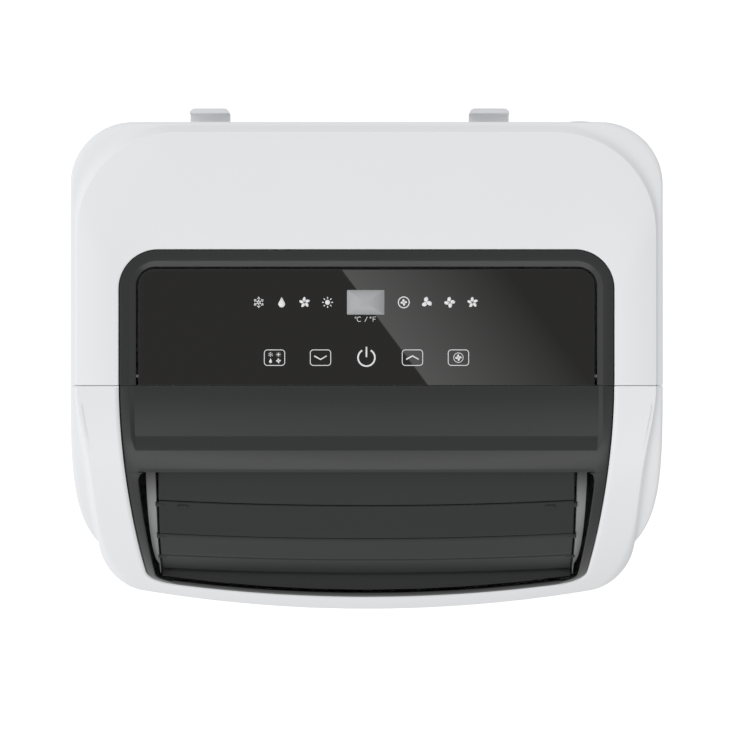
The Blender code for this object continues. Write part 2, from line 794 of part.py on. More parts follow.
def duct_ring(grow, share, lift=0.0):
    """A rectangle between the throat (0) and the louvres (1)."""
    top_y, top_z = edges[0][0] + 0.012, edges[0][1] - 0.030
    low_y, low_z = edges[-1][0] + 0.026, edges[-1][1] - 0.0055
    (x0, x1), (y0, y1), z0 = THROAT
    wide = CHEEK_IN - 0.006
    left = x0 + (-wide - x0) * share
    right = x1 + (wide - x1) * share
    back = (y1 + (top_y - y1) * share, z0 + (top_z - z0) * share)
    front = (y0 + (low_y - y0) * share, z0 + (low_z - z0) * share)
    return [
        (left - grow, back[0] + grow, back[1] + lift),
        (right + grow, back[0] + grow, back[1] + lift),
        (right + grow, front[0] - grow, front[1] + lift),
        (left - grow, front[0] - grow, front[1] + lift),
    ]


outlet_duct = loft("outlet_duct", [duct_ring(0, 0), duct_ring(0, 0.5), duct_ring(0, 1)], "grey_plastic")
duct_stations = ((0, -0.01), (0, 0), (0.5, 0), (1, 0), (1, 0.01))
cut(outlet_duct, loft("duct_bore", [duct_ring(-DUCT_WALL, share, lift) for share, lift in duct_stations]))

# Sill that closes the space between the duct and the opening's lower lip
SILL_THICK = 0.002
SILL_HALF = CHEEK_IN - 0.001
sill_back = (THROAT[1][0] - 0.001, edges[-1][1] - 0.0095)
sill_rings = []
for step in range(9):
    x = SILL_HALF * (step / 4 - 1)
    lip = hood_point(OPENING_LOW_DEG + 1, FRAME_WALL + 0.001, x)
    section = [lip, sill_back, (sill_back[0], sill_back[1] - SILL_THICK), (lip[0], lip[1] - SILL_THICK)]
    sill_rings.append([(x, y, z) for y, z in section])
loft("outlet_sill", sill_rings, "dark_plastic")

# Finger guard on the duct's mouth
mouth = duct_ring(-0.004, 1.0)
(back_y, back_z), (low_y, low_z) = mouth[0][1:], mouth[2][1:]
lift = Vector((0, -(low_z - back_z), low_y - back_y)).normalized()
if lift.z < 0:
    lift = -lift


def guard_plate(margin, rise, name, kind=None):
    half = CHEEK_IN - 0.012 - margin
    a = Vector((0, *toward((back_y, back_z), (low_y, low_z), margin)))
    b = Vector((0, *toward((low_y, low_z), (back_y, back_z), margin)))
    rings = []
    for height in rise:
        low, high = a + lift * height, b + lift * height
        rings.append(
            [(-half, low.y, low.z), (half, low.y, low.z), (half, high.y, high.z), (-half, high.y, high.z)]
        )
    return loft(name, rings, kind)


outlet_guard = guard_plate(0.0, (0.0008, 0.0036), "outlet_guard", "grey_plastic")
guard_cut = guard_plate(0.004, (-0.004, 0.008), "guard_cut")
GUARD_RIBS = 8
rib_pitch = 2 * (CHEEK_IN - 0.016) / (GUARD_RIBS + 1)
ribs = []
for i in range(GUARD_RIBS):
    x = (i - (GUARD_RIBS - 1) / 2) * rib_pitch
    ribs.append(((x - 0.001, -0.3, 0.4), (x + 0.001, 0.1, 0.8)))
cut(guard_cut, boxes("guard_ribs", ribs))
cut(outlet_guard, guard_cut)


def scroll_outline(centre, start, growth, throat, top):
    """A snail outline in x and z: a spiral that opens into an upright throat."""
    cx, cz = centre
    tongue = math.degrees(math.acos((throat[1] - cx) / start))
    turns = 16
    points = []
    for i in range(turns + 1):
        angle = math.radians(tongue - (tongue + 180) * i / turns)
        radius = start + growth * i / turns
        points.append((cx + radius * math.cos(angle), cz + radius * math.sin(angle)))
    return points + [(throat[0], cz + 0.03), (throat[0], top), (throat[1], top)]


def blower(prefix, centre_x, centre_z, y_low, y_high, throat, top, start, growth):
    """A snail housing and the solid that hollows it, on one axis along Y."""
    wall = 0.0025
    outside = scroll_outline((centre_x, centre_z), start, growth, throat, top)
    inner_throat = (throat[0] + wall, throat[1] - wall)
    inside = scroll_outline((centre_x, centre_z), start - wall, growth, inner_throat, top + 0.01)
    housing = outline_solid(f"{prefix}_housing", outside, "XZ", y_low, y_high, "foam_white")
    hollow = outline_solid(f"{prefix}_hollow", inside, "XZ", y_low + wall, y_high - wall)
    return housing, hollow


def blower_wheel(name, centre, radius, width, kind):
    """A drum of blades with a back plate at its low Y side and a hub with a bore."""
    half = width / 2
    bore = 0.0043
    profile = [
        (radius * 0.80, half),
        (radius, half),
        (radius, -half),
        (bore, -half),
        (bore, -half + 0.016),
        (0.012, -half + 0.016),
        (0.012, -half + 0.003),
        (radius * 0.80, -half + 0.003),
    ]
    drum = turned(name, centre, "Y", profile, kind, 24)
    blades = 12

    def build(bm):
        for i in range(blades):
            cube = bmesh.ops.create_cube(bm, size=1.0)["verts"]
            pitch = 2 * math.pi * radius / blades
            bmesh.ops.scale(bm, vec=(radius * 0.5, width - 0.010, pitch * 0.55), verts=cube)
            bmesh.ops.translate(bm, vec=(radius * 0.92, 0.001, 0), verts=cube)
            turn = Matrix.Rotation(2 * math.pi * i / blades, 3, "Y")
            bmesh.ops.rotate(bm, matrix=turn, verts=cube)
        bmesh.ops.translate(bm, vec=centre, verts=bm.verts)

    cut(drum, add(f"{name}_slots", mesh_from(f"{name}_slots", build)))
    return drum


SHAFT = 0.004
# Room air side: blower in front of the evaporator
BLOWER_Y = (THROAT[1][0] - DUCT_WALL, THROAT[1][1] + DUCT_WALL)
blower_mid = sum(BLOWER_Y) / 2
blower_top = THROAT[2] - GAP
blower_housing, blower_hollow = blower(
    "blower", 0.0, BLOWER_Z, *BLOWER_Y, THROAT[0], blower_top, BLOWER_RADIUS + 0.008, 0.030
)
blower_inlet = cylinder("blower_inlet", (0, BLOWER_Y[1], BLOWER_Z), BLOWER_RADIUS * 0.8, 0.02, "Y", sides=28)
blower_shaft_hole = cylinder(
    "blower_shaft_hole", (0, BLOWER_Y[0], BLOWER_Z), SHAFT + 0.003, 0.02, "Y", sides=16
)
cut(blower_housing, blower_hollow, blower_inlet, blower_shaft_hole)
wheel_width = BLOWER_Y[1] - BLOWER_Y[0] - 0.014
blower_wheel_node = blower_wheel(
    "blower_wheel", (0, blower_mid, BLOWER_Z), BLOWER_RADIUS, wheel_width, "grey_plastic"
)
pivot("blower_axis", (0, blower_mid, BLOWER_Z), blower_wheel_node)
shaft_reach = BLOWER_Y[0] + 0.007 + 0.012
blower_motor = turned(
    "blower_motor",
    (0, BLOWER_Y[0] - GAP, BLOWER_Z),
    "Y",
    [
        (0.0, shaft_reach - BLOWER_Y[0]),
        (SHAFT, shaft_reach - BLOWER_Y[0]),
        (SHAFT, 0.0),
        (0.038, 0.0),
        (0.040, -0.003),
        (0.040, -0.024),
        (0.036, -0.028),
        (0.0, -0.028),
    ],
    "steel",
    20,
)

# Hot side: fan behind the compressor, blowing up and out through the back
FAN_Y = (0.030, 0.085)
fan_mid = sum(FAN_Y) / 2
fan_top = TRAY_Z - 0.006
fan_x = 0.012
fan_throat = (EXHAUST_X - COLLAR_RADIUS + 0.004, EXHAUST_X + COLLAR_RADIUS - 0.004)
exhaust_housing, exhaust_hollow = blower(
    "exhaust_fan", fan_x, FAN_Z, *FAN_Y, fan_throat, fan_top, FAN_RADIUS + 0.006, 0.022
)
fan_cap = box("fan_cap", (-0.3, FAN_Y[0] - 0.01, fan_top - 0.0025), (0.3, FAN_Y[1] + 0.01, fan_top + 0.1))
cut(exhaust_hollow, fan_cap)
fan_inlet = cylinder("fan_inlet", (fan_x, FAN_Y[1], FAN_Z - 0.010), FAN_RADIUS * 0.62, 0.02, "Y", sides=28)
SLEEVE_RADIUS = 0.058
fan_mouth = cylinder("fan_mouth", (EXHAUST_X, FAN_Y[1], EXHAUST_Z), SLEEVE_RADIUS, 0.02, "Y", sides=28)
fan_shaft_hole = cylinder("fan_shaft_hole", (fan_x, FAN_Y[0], FAN_Z), SHAFT + 0.003, 0.02, "Y", sides=16)
cut(exhaust_housing, exhaust_hollow, fan_inlet, fan_mouth, fan_shaft_hole)
fan_width = FAN_Y[1] - FAN_Y[0] - 0.014
fan_wheel = blower_wheel("exhaust_fan_wheel", (fan_x, fan_mid, FAN_Z), FAN_RADIUS, fan_width, "grey_plastic")
pivot("exhaust_fan_axis", (fan_x, fan_mid, FAN_Z), fan_wheel)
exhaust_motor = turned(
    "exhaust_fan_motor",
    (fan_x, FAN_Y[0] - GAP, FAN_Z),
    "Y",
    [
        (0.0, 0.019),
        (SHAFT, 0.019),
        (SHAFT, 0.0),
        (0.034, 0.0),
        (0.036, -0.003),
        (0.036, -0.034),
        (0.032, -0.038),
        (0.0, -0.038),
    ],
    "steel",
    20,
)
SLEEVE_END = BACK_Y - 0.022
exhaust_sleeve = turned(
    "exhaust_sleeve",
    (EXHAUST_X, FAN_Y[1] + GAP, EXHAUST_Z),
    "Y",
    [
        (SLEEVE_RADIUS + 0.002, SLEEVE_END - FAN_Y[1]),
        (SLEEVE_RADIUS + 0.002, 0.0),
        (SLEEVE_RADIUS, 0.0),
        (SLEEVE_RADIUS, SLEEVE_END - FAN_Y[1]),
    ],
    "grey_plastic",
    32,
)
exhaust_collar = turned(
    "exhaust_collar",
    (EXHAUST_X, BACK_Y, EXHAUST_Z),
    "Y",
    [
        (COLLAR_RADIUS - 0.002, 0.010),
        (COLLAR_RADIUS, 0.008),
        (COLLAR_RADIUS, -0.020),
        (SLEEVE_RADIUS, -0.020),
        (SLEEVE_RADIUS, -0.016),
        (COLLAR_RADIUS - 0.004, -0.014),
        (COLLAR_RADIUS - 0.004, 0.010),
    ],
    "grey_plastic",
    32,
)

# Divider tray between the cold and the hot side
divider = outline_solid("divider_tray", pan_outline, "XY", TRAY_Z, TRAY_Z + 0.018, "grey_plastic")
divider_hollow = outline_solid("divider_hollow", pan_inside, "XY", TRAY_Z + 0.003, TRAY_Z + 0.05)
PIPE_X = -0.185
pipe_hole = box("pipe_hole", (PIPE_X - 0.012, 0.030, TRAY_Z - 0.01), (PIPE_X + 0.012, 0.075, TRAY_Z + 0.01))
upper_slot = box(
    "upper_slot",
    (DRAINS["upper"][0] - 0.012, BACK_Y - 0.03, TRAY_Z - 0.02),
    (DRAINS["upper"][0] + 0.012, BACK_Y, TRAY_Z + 0.03),
)
cut(divider, divider_hollow, pipe_hole, upper_slot)


def heat_exchanger(name, low, high):
    """A block of fins between two end plates."""
    block = box(name, low, high, "aluminium")
    fins = 10
    pitch = (high[0] - low[0] - 0.02) / fins
    slots = []
    for i in range(fins):
        x = low[0] + 0.01 + pitch * (i + 0.5)
        slot_low = (x - pitch * 0.3, high[1] - 0.004, low[2] + 0.008)
        slot_high = (x + pitch * 0.3, high[1] + 0.01, high[2] - 0.008)
        slots.append((slot_low, slot_high))
    return cut(block, boxes(f"{name}_slots", slots))


COIL_BACK = BACK_Y - 0.024
evaporator = heat_exchanger(
    "evaporator", (-0.145, COIL_BACK - 0.036, TRAY_Z + 0.004), (0.145, COIL_BACK, INTAKE_HIGH - 0.01)
)
condenser = heat_exchanger("condenser", (-0.160, COIL_BACK - 0.030, 0.060), (0.160, COIL_BACK, GRILLE_HIGH))

# Compressor, accumulator and pipes
COMPRESSOR = (-0.110, -0.050)
floor_z = BASE_BOTTOM + BASE_FLOOR + GAP
compressor = turned(
    "compressor",
    (*COMPRESSOR, floor_z),
    "Z",
    [
        (0.0, 0.215),
        (0.030, 0.212),
        (0.050, 0.200),
        (0.058, 0.180),
        (0.058, 0.040),
        (0.050, 0.024),
        (0.068, 0.020),
        (0.068, 0.004),
        (0.0, 0.004),
    ],
    "black_metal",
    24,
)
ACCUMULATOR = (-0.025, -0.120)
accumulator = turned(
    "accumulator",
    (*ACCUMULATOR, floor_z + 0.03),
    "Z",
    [(0.0, 0.140), (0.012, 0.138), (0.022, 0.128), (0.022, 0.012), (0.012, 0.002), (0.0, 0.0)],
    "black_metal",
    18,
)
PIPE = 0.0035
suction_pipe = pipe(
    "suction_pipe",
    [
        (ACCUMULATOR[0], ACCUMULATOR[1], floor_z + 0.174),
        (ACCUMULATOR[0] - 0.01, ACCUMULATOR[1] + 0.01, 0.285),
        (-0.120, 0.010, 0.300),
        (PIPE_X, 0.045, 0.315),
        (PIPE_X, 0.052, 0.380),
        (PIPE_X, 0.080, 0.430),
        (-0.165, 0.115, 0.440),
        (-0.1485, 0.120, 0.440),
    ],
    PIPE,
    "copper",
)
discharge_pipe = pipe(
    "discharge_pipe",
    [
        (COMPRESSOR[0], COMPRESSOR[1], floor_z + 0.219),
        (COMPRESSOR[0] - 0.02, COMPRESSOR[1] + 0.02, 0.283),
        (-0.175, -0.010, 0.270),
        (-0.185, 0.050, 0.220),
        (-0.185, 0.100, 0.150),
        (-0.180, 0.128, 0.130),
        (-0.1635, 0.128, 0.130),
    ],
    PIPE,
    "copper",
)

# Electrical box and capacitor
electrical_box = box("electrical_box", (0.075, -0.140, 0.200), (0.185, -0.060, 0.325), "grey_plastic", 0.003)
capacitor = cylinder("capacitor", (0.130, -0.100, 0.130), 0.022, 0.080, "Z", "aluminium", 20)
soften(capacitor, 0.002)

# Rear intake cover with its filter, on a hinge along its lower edge


def slotted(obj, name, half, low, high, rows, columns, y):
    """Level slots through a panel, in rows and columns with a border."""
    border = 0.012
    rib = 0.004
    wide = (2 * (half - border) - rib * (columns - 1)) / columns
    pitch = (high - low - 2 * border) / rows
    slots = []
    for row in range(rows):
        z = low + border + pitch * (row + 0.5)
        for column in range(columns):
            x = -half + border + column * (wide + rib)
            slots.append(((x, y - 0.02, z - pitch * 0.30), (x + wide, y + 0.02, z + pitch * 0.30)))
    return cut(obj, boxes(name, slots))


COVER_LOW = INTAKE_LOW + FIT
intake_cover = box(
    "intake_cover",
    (-INTAKE_HALF + FIT, BACK_Y - WALL, COVER_LOW),
    (INTAKE_HALF - FIT, BACK_Y, INTAKE_HIGH - FIT),
    "white_plastic",
)
slotted(intake_cover, "intake_slots", INTAKE_HALF, INTAKE_LOW, INTAKE_HIGH, 14, 2, BACK_Y)
FILTER_MARGIN = 0.005
air_filter = box(
    "air_filter",
    (-INTAKE_HALF + FILTER_MARGIN, BACK_Y - WALL - GAP - 0.006, INTAKE_LOW + FILTER_MARGIN),
    (INTAKE_HALF - FILTER_MARGIN, BACK_Y - WALL - GAP, INTAKE_HIGH - FILTER_MARGIN),
    "black_rubber",
)
windows = []
filter_half = INTAKE_HALF - FILTER_MARGIN
filter_tall = INTAKE_HIGH - INTAKE_LOW - 2 * FILTER_MARGIN
for column in range(3):
    for row in range(2):
        wide = (2 * filter_half - 0.008 * 4) / 3
        tall = (filter_tall - 0.008 * 3) / 2
        x = -filter_half + 0.008 + column * (wide + 0.008)
        z = INTAKE_LOW + FILTER_MARGIN + 0.008 + row * (tall + 0.008)
        windows.append(((x, BACK_Y - 0.04, z), (x + wide, BACK_Y + 0.02, z + tall)))
cut(air_filter, boxes("filter_windows", windows))
pivot("intake_cover_axis", (0, BACK_Y, COVER_LOW), intake_cover, air_filter)

lower_grille = box(
    "lower_grille",
    (-GRILLE_HALF + FIT, BACK_Y - WALL, GRILLE_LOW + FIT),
    (GRILLE_HALF - FIT, BACK_Y, GRILLE_HIGH - FIT),
    "white_plastic",
)
slotted(lower_grille, "grille_slots", GRILLE_HALF, GRILLE_LOW, GRILLE_HIGH, 5, 3, BACK_Y)

# Cord hooks behind the back wall
HOOK_TALL = 0.052
HOOK_THICK = 0.004
hook_foot = BACK_Y + GAP
hook_tip = BACK_Y + HOOK_REACH
for (side, _), x in zip(SIDES, HOOK_X):
    low = EXHAUST_Z - HOOK_TALL / 2
    mid = EXHAUST_Z + HOOK_THICK / 2
    profile = [
        (hook_foot, low),
        (hook_foot + HOOK_THICK, low),
        (hook_foot + HOOK_THICK, mid - HOOK_THICK),
        (hook_tip, mid - HOOK_THICK),
        (hook_tip, EXHAUST_Z + HOOK_TALL / 2),
        (hook_tip - HOOK_THICK, EXHAUST_Z + HOOK_TALL / 2),
        (hook_tip - HOOK_THICK, mid),
        (hook_foot, mid),
    ]
    hook = outline_solid(
        f"cord_hook_{side}", profile, "YZ", x - HOOK_WIDTH / 2, x + HOOK_WIDTH / 2, "white_plastic"
    )

# Drain spigots with pull-off caps, and the supply cord gland
for level, (x, z) in DRAINS.items():
    turned(
        f"drain_spigot_{level}",
        (x, BACK_Y, z),
        "Y",
        [
            (DRAIN_RADIUS - 0.0025, 0.012),
            (DRAIN_RADIUS, 0.012),
            (DRAIN_RADIUS, -0.012),
            (DRAIN_RADIUS - 0.0025, -0.012),
        ],
        "grey_plastic",
        16,
    )
    cap = turned(
        f"drain_cap_{level}",
        (x, BACK_Y + GAP, z),
        "Y",
        [
            (0.0, 0.017),
            (0.0105, 0.017),
            (0.012, 0.0155),
            (0.012, 0.0),
            (DRAIN_RADIUS + GAP, 0.0),
            (DRAIN_RADIUS + GAP, 0.0125),
            (0.0, 0.0125),
        ],
        "black_rubber",
        16,
    )
    pivot(f"drain_cap_axis_{level}", (x, BACK_Y, z), cap)
turned(
    "cord_gland",
    (GLAND[0], BACK_Y, GLAND[1]),
    "Y",
    [
        (0.0036, 0.008),
        (0.010, 0.008),
        (0.013, 0.005),
        (0.013, GAP),
        (GLAND_RADIUS, GAP),
        (GLAND_RADIUS, -0.010),
        (0.0036, -0.010),
    ],
    "black_rubber",
    20,
)
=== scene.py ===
# Looks of the portable air conditioner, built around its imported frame. Metres, +Z up, front towards -Y.
import json
import math

import bmesh
import bpy
import numpy as np
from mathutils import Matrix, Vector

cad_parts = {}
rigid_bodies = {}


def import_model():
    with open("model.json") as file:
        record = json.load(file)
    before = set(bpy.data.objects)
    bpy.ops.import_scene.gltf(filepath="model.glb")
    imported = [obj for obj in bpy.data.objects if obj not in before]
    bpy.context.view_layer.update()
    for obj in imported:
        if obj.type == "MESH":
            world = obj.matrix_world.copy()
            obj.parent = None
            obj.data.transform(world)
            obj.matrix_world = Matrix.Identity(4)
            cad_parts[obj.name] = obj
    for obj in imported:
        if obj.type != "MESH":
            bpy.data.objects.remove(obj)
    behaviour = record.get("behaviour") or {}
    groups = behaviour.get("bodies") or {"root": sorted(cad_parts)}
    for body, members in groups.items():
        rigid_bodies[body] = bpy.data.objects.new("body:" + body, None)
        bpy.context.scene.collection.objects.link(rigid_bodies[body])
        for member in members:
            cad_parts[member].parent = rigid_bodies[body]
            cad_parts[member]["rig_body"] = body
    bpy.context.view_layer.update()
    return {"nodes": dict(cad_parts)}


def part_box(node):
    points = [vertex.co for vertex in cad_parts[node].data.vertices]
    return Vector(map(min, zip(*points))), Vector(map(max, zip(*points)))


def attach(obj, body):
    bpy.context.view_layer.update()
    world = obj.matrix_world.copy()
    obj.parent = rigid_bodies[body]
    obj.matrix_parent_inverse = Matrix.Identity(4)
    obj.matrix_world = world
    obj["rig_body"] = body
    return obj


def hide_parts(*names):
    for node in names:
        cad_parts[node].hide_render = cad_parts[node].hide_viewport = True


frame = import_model()

nodes = frame["nodes"]
gap = 0.0003  # air between two mouldings that meet
spare = 0.0006  # air round a piece set into a wall


# Shared numpy helpers

# One mesh of grids of points (rows, columns, 3). A skip mask leaves cells out, a loop closes the columns.
def sheetMesh(name, grids, skips=None, loops=None, weld=1e-6):
    points, faces, start = [], [], 0
    for i, grid in enumerate(grids):
        rows, cols = grid.shape[:2]
        loop = bool(loops and loops[i])
        index = start + np.arange(rows * cols).reshape(rows, cols)
        if loop:
            index = np.concatenate([index, index[:, :1]], axis=1)
        cells = np.stack([index[:-1, :-1], index[:-1, 1:], index[1:, 1:], index[1:, :-1]], axis=-1)
        wanted = np.ones(cells.shape[:2], bool)
        if skips is not None and skips[i] is not None:
            wanted &= ~skips[i]
        cells = cells[wanted]
        points.append(grid.reshape(-1, 3))
        faces.append(cells)
        start += rows * cols
    mesh = bpy.data.meshes.new(name)
    mesh.from_pydata(np.concatenate(points).tolist(), [], np.concatenate(faces).tolist())
    work = bmesh.new()
    work.from_mesh(mesh)
    bmesh.ops.remove_doubles(work, verts=work.verts, dist=weld)
    bmesh.ops.dissolve_degenerate(work, dist=weld, edges=work.edges)
    bmesh.ops.delete(work, geom=[v for v in work.verts if not v.link_faces], context="VERTS")
    work.to_mesh(mesh)
    work.free()
    return mesh


# Turns a closed shell's faces to point out.
def outward(mesh):
    work = bmesh.new()
    work.from_mesh(mesh)
    bmesh.ops.recalc_face_normals(work, faces=work.faces)
    work.to_mesh(mesh)
    work.free()
    return mesh


# Flips an open sheet as a whole when most of its area faces the given inside point.
def facing(mesh, inside):
    count = len(mesh.polygons)
    normal = np.zeros(count * 3)
    centre = np.zeros(count * 3)
    area = np.zeros(count)
    mesh.polygons.foreach_get("normal", normal)
    mesh.polygons.foreach_get("center", centre)
    mesh.polygons.foreach_get("area", area)
    away = centre.reshape(-1, 3) - np.array(inside)
    if ((normal.reshape(-1, 3) * away).sum(axis=1) * area).sum() < 0:
        mesh.flip_normals()
    return mesh


# Puts a finished mesh in the scene, on its body, in place of the CAD nodes named.
def place(name, mesh, material, body, *replaced, sharp=35):
    obj = bpy.data.objects.new(name, mesh)
    bpy.context.scene.collection.objects.link(obj)
    mesh.materials.clear()
    mesh.materials.append(material)
    mesh.shade_smooth()
    mesh.set_sharp_from_angle(angle=math.radians(sharp))
    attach(obj, body)
    if replaced:
        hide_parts(*replaced)
    return obj


# A wall grown inwards from an outer skin.
def thicken(obj, wall):
    shell = obj.modifiers.new("wall", "SOLIDIFY")
    shell.thickness = wall
    shell.offset = -1
    return obj


# The object's mesh with its modifiers worked in.
def baked(obj):
    bpy.context.view_layer.update()
    made = bpy.data.meshes.new_from_object(obj.evaluated_get(bpy.context.evaluated_depsgraph_get()))
    obj.modifiers.clear()
    obj.data = made
    return obj


# Materials

# sRGB hex to linear: low values divide by 12.92, the rest follow the 2.4 power.
def linearColour(code):
    parts = np.array([int(code[i:i + 2], 16) for i in (1, 3, 5)]) / 255
    straight = np.where(parts <= 0.04045, parts / 12.92, ((parts + 0.055) / 1.055) ** 2.4)
    return (*[float(v) for v in straight], 1.0)


# A node with its values set and its inputs linked from (node, output).
def addNode(tree, kind, settings=None, links=None):
    made = tree.nodes.new(kind)
    for key, value in (settings or {}).items():
        if isinstance(key, str) and hasattr(made, key):
            setattr(made, key, value)
        else:
            made.inputs[key].default_value = value
    for key, (source, output) in (links or {}).items():
        tree.links.new(source.outputs[output], made.inputs[key])
    return made


# Moulded or cast surface: slow drift of shade over 60 mm, fine grain of the given size, uneven gloss.
def mouldedFinish(
    name, colour, rough, grainMm, bumpMm, drift=0.03, roughDrift=0.06, metal=0.0, specular=0.5
):
    material = bpy.data.materials.new(name)
    material.use_nodes = True
    tree = material.node_tree
    shader = tree.nodes["Principled BSDF"]
    shader.inputs["Metallic"].default_value = metal
    shader.inputs["Specular IOR Level"].default_value = specular
    where = addNode(tree, "ShaderNodeTexCoord")
    slow = addNode(
        tree, "ShaderNodeTexNoise", {"Scale": 1 / 0.060, "Detail": 3.0}, {"Vector": (where, "Object")}
    )
    grain = addNode(
        tree, "ShaderNodeTexNoise", {"Scale": 1000 / grainMm, "Detail": 2.0}, {"Vector": (where, "Object")}
    )
    base = linearColour(colour)
    dark = tuple(v * (1 - drift) for v in base[:3]) + (1.0,)
    light = tuple(min(1.0, v * (1 + drift)) for v in base[:3]) + (1.0,)
    tint = addNode(
        tree, "ShaderNodeMix", {"data_type": "RGBA"}, {0: (slow, "Fac")}
    )
    tint.inputs[6].default_value = dark
    tint.inputs[7].default_value = light
    tree.links.new(tint.outputs[2], shader.inputs["Base Color"])
    gloss = addNode(
        tree,
        "ShaderNodeMapRange",
        {"To Min": max(0.004, rough - roughDrift), "To Max": rough + roughDrift},
        {"Value": (grain, "Fac")},
    )
    tree.links.new(gloss.outputs["Result"], shader.inputs["Roughness"])
    relief = addNode(
        tree, "ShaderNodeBump", {"Strength": 0.5, "Distance": bumpMm / 1000}, {"Height": (grain, "Fac")}
    )
    tree.links.new(relief.outputs["Normal"], shader.inputs["Normal"])
    return material


# Satin moulding with painted shade: its colour runs from dark to light between two places along Y.
def paintedShadeFinish(name, dark, light, fromY, toY):
    material = mouldedFinish(name, light, 0.34, 0.5, 0.01)
    tree = material.node_tree
    shader = tree.nodes["Principled BSDF"]
    where = addNode(tree, "ShaderNodeTexCoord")
    parts = addNode(tree, "ShaderNodeSeparateXYZ", None, {0: (where, "Object")})
    share = addNode(
        tree,
        "ShaderNodeMapRange",
        {"interpolation_type": "SMOOTHSTEP", "From Min": fromY, "From Max": toY},
        {"Value": (parts, "Y")},
    )
    # painted shade: the dark colour at fromY blends into the moulding's own colour at toY
    tint = addNode(tree, "ShaderNodeMix", {"data_type": "RGBA"}, {0: (share, "Result")})
    tint.inputs[6].default_value = linearColour(dark)
    tree.links.new(shader.inputs["Base Color"].links[0].from_socket, tint.inputs[7])
    tree.links.new(tint.outputs[2], shader.inputs["Base Color"])
    return material


# Fine parallel ribs, or a net when a second axis crosses them: dark between the ribs with painted shade,
# raised on them.
def ribbedPaintedShadeFinish(name, colour, pitchMm, axis, depthMm, rough, metal=0.0, cross=None):
    material = mouldedFinish(name, colour, rough, 1.0, 0.01, metal=metal)
    tree = material.node_tree
    shader = tree.nodes["Principled BSDF"]
    where = addNode(tree, "ShaderNodeTexCoord")
    height = None
    for way in (axis, cross):
        if way is None:
            continue
        # a wave texture's scale of one repeats every 2 pi / 20 units
        wave = addNode(
            tree,
            "ShaderNodeTexWave",
            {"wave_type": "BANDS", "bands_direction": way, "Scale": 1000 / pitchMm * 2 * math.pi / 20},
            {"Vector": (where, "Object")},
        )
        if height is None:
            height = (wave, "Fac")
        else:
            higher = addNode(tree, "ShaderNodeMath", {"operation": "MAXIMUM"}, {0: height, 1: (wave, "Fac")})
            height = (higher, "Value")
    deep = addNode(tree, "ShaderNodeMapRange", {"From Min": 0.15, "From Max": 0.75}, {"Value": height})
    # painted shade: between the ribs the colour falls to a quarter
    tint = addNode(tree, "ShaderNodeMix", {"data_type": "RGBA"}, {0: (deep, "Result")})
    tint.inputs[6].default_value = tuple(v * 0.25 for v in linearColour(colour)[:3]) + (1.0,)
    tree.links.new(shader.inputs["Base Color"].links[0].from_socket, tint.inputs[7])
    tree.links.new(tint.outputs[2], shader.inputs["Base Color"])
    relief = addNode(
        tree, "ShaderNodeBump", {"Strength": 0.6, "Distance": depthMm / 1000}, {"Height": height}
    )
    tree.links.new(relief.outputs["Normal"], shader.inputs["Normal"])
    return material


# White ABS from a spark-eroded mould: clean and half matt, with hardly any drift of shade. Its 0.1 mm grain
# is drawn at 0.7 mm so that it shows.
whiteAbs = mouldedFinish("moulded_white_abs", "#e8e9eb", 0.42, 0.7, 0.02, drift=0.006)
# Charcoal ABS from the same kind of mould: nearly black, with a soft broad sheen.
darkAbs = mouldedFinish("moulded_charcoal_abs", "#1f2120", 0.30, 0.8, 0.03, drift=0.04)
# The blades have a duller eroded surface, so they stay evenly dark in side light.
louvreAbs = mouldedFinish("satin_charcoal_louvre_abs", "#2d2f2e", 0.48, 0.6, 0.02, drift=0.03, specular=0.2)
# Clear acrylic painted black on its back: deep black with a mirror-sharp reflection.
glossPanel = mouldedFinish(
    "back_painted_black_panel", "#100e0c", 0.008, 6.0, 0.00005, drift=0.05, roughDrift=0.003
)
# Silver paint on ABS: light grey with a slight metallic lift.
silverAbs = mouldedFinish("silver_painted_abs", "#a9abac", 0.34, 0.5, 0.015, metal=0.2)
# Uncoated grey ABS: flat mid grey with a coarse grain.
greyAbs = mouldedFinish("moulded_grey_abs", "#85878a", 0.5, 0.9, 0.04)
# Moulded rubber: black, matt and slightly mottled.
tyreRubber = mouldedFinish("black_castor_rubber", "#141414", 0.75, 1.2, 0.10, drift=0.15)
# Powder coat on steel: black with a fine orange-peel relief.
blackSteel = mouldedFinish("powder_coated_black_steel", "#17181a", 0.45, 0.9, 0.06)
# Turned and zinc plated: bright grey with faint lathe lines, drawn 1.2 mm apart so that they show, with
# painted shade in their grooves.
zincSteel = ribbedPaintedShadeFinish("turned_zinc_plated_steel", "#b9bbbd", 1.2, "Y", 0.02, 0.28, metal=1.0)
# Drawn copper: warm, with darker patches where it was brazed.
copperTube = mouldedFinish("drawn_copper_tube", "#c5804f", 0.3, 1.5, 0.01, drift=0.12, metal=1.0)
# Rolled fins 2 mm apart: bright edges, with painted shade for the dark air between them.
finAluminium = ribbedPaintedShadeFinish("rolled_fin_aluminium", "#c9cccf", 2.0, "X", 0.5, 0.35, metal=1.0)
# Solder mask over glass fibre: mottled green, half gloss.
boardGreen = mouldedFinish("glass_fibre_board", "#1e5a37", 0.4, 1.5, 0.02, drift=0.15)
# Cut foam: white, quite matt, with coarse cells.
whiteFoam = mouldedFinish("cut_white_foam", "#e4e4df", 0.9, 2.0, 0.30, drift=0.05)
# Woven net: dark threads, with painted shade for the darker holes. Its 0.8 mm mesh is drawn at 1.6 mm so
# that it shows.
filterNet = ribbedPaintedShadeFinish("woven_filter_net", "#3a3d40", 1.6, "X", 0.4, 0.8, cross="Z")
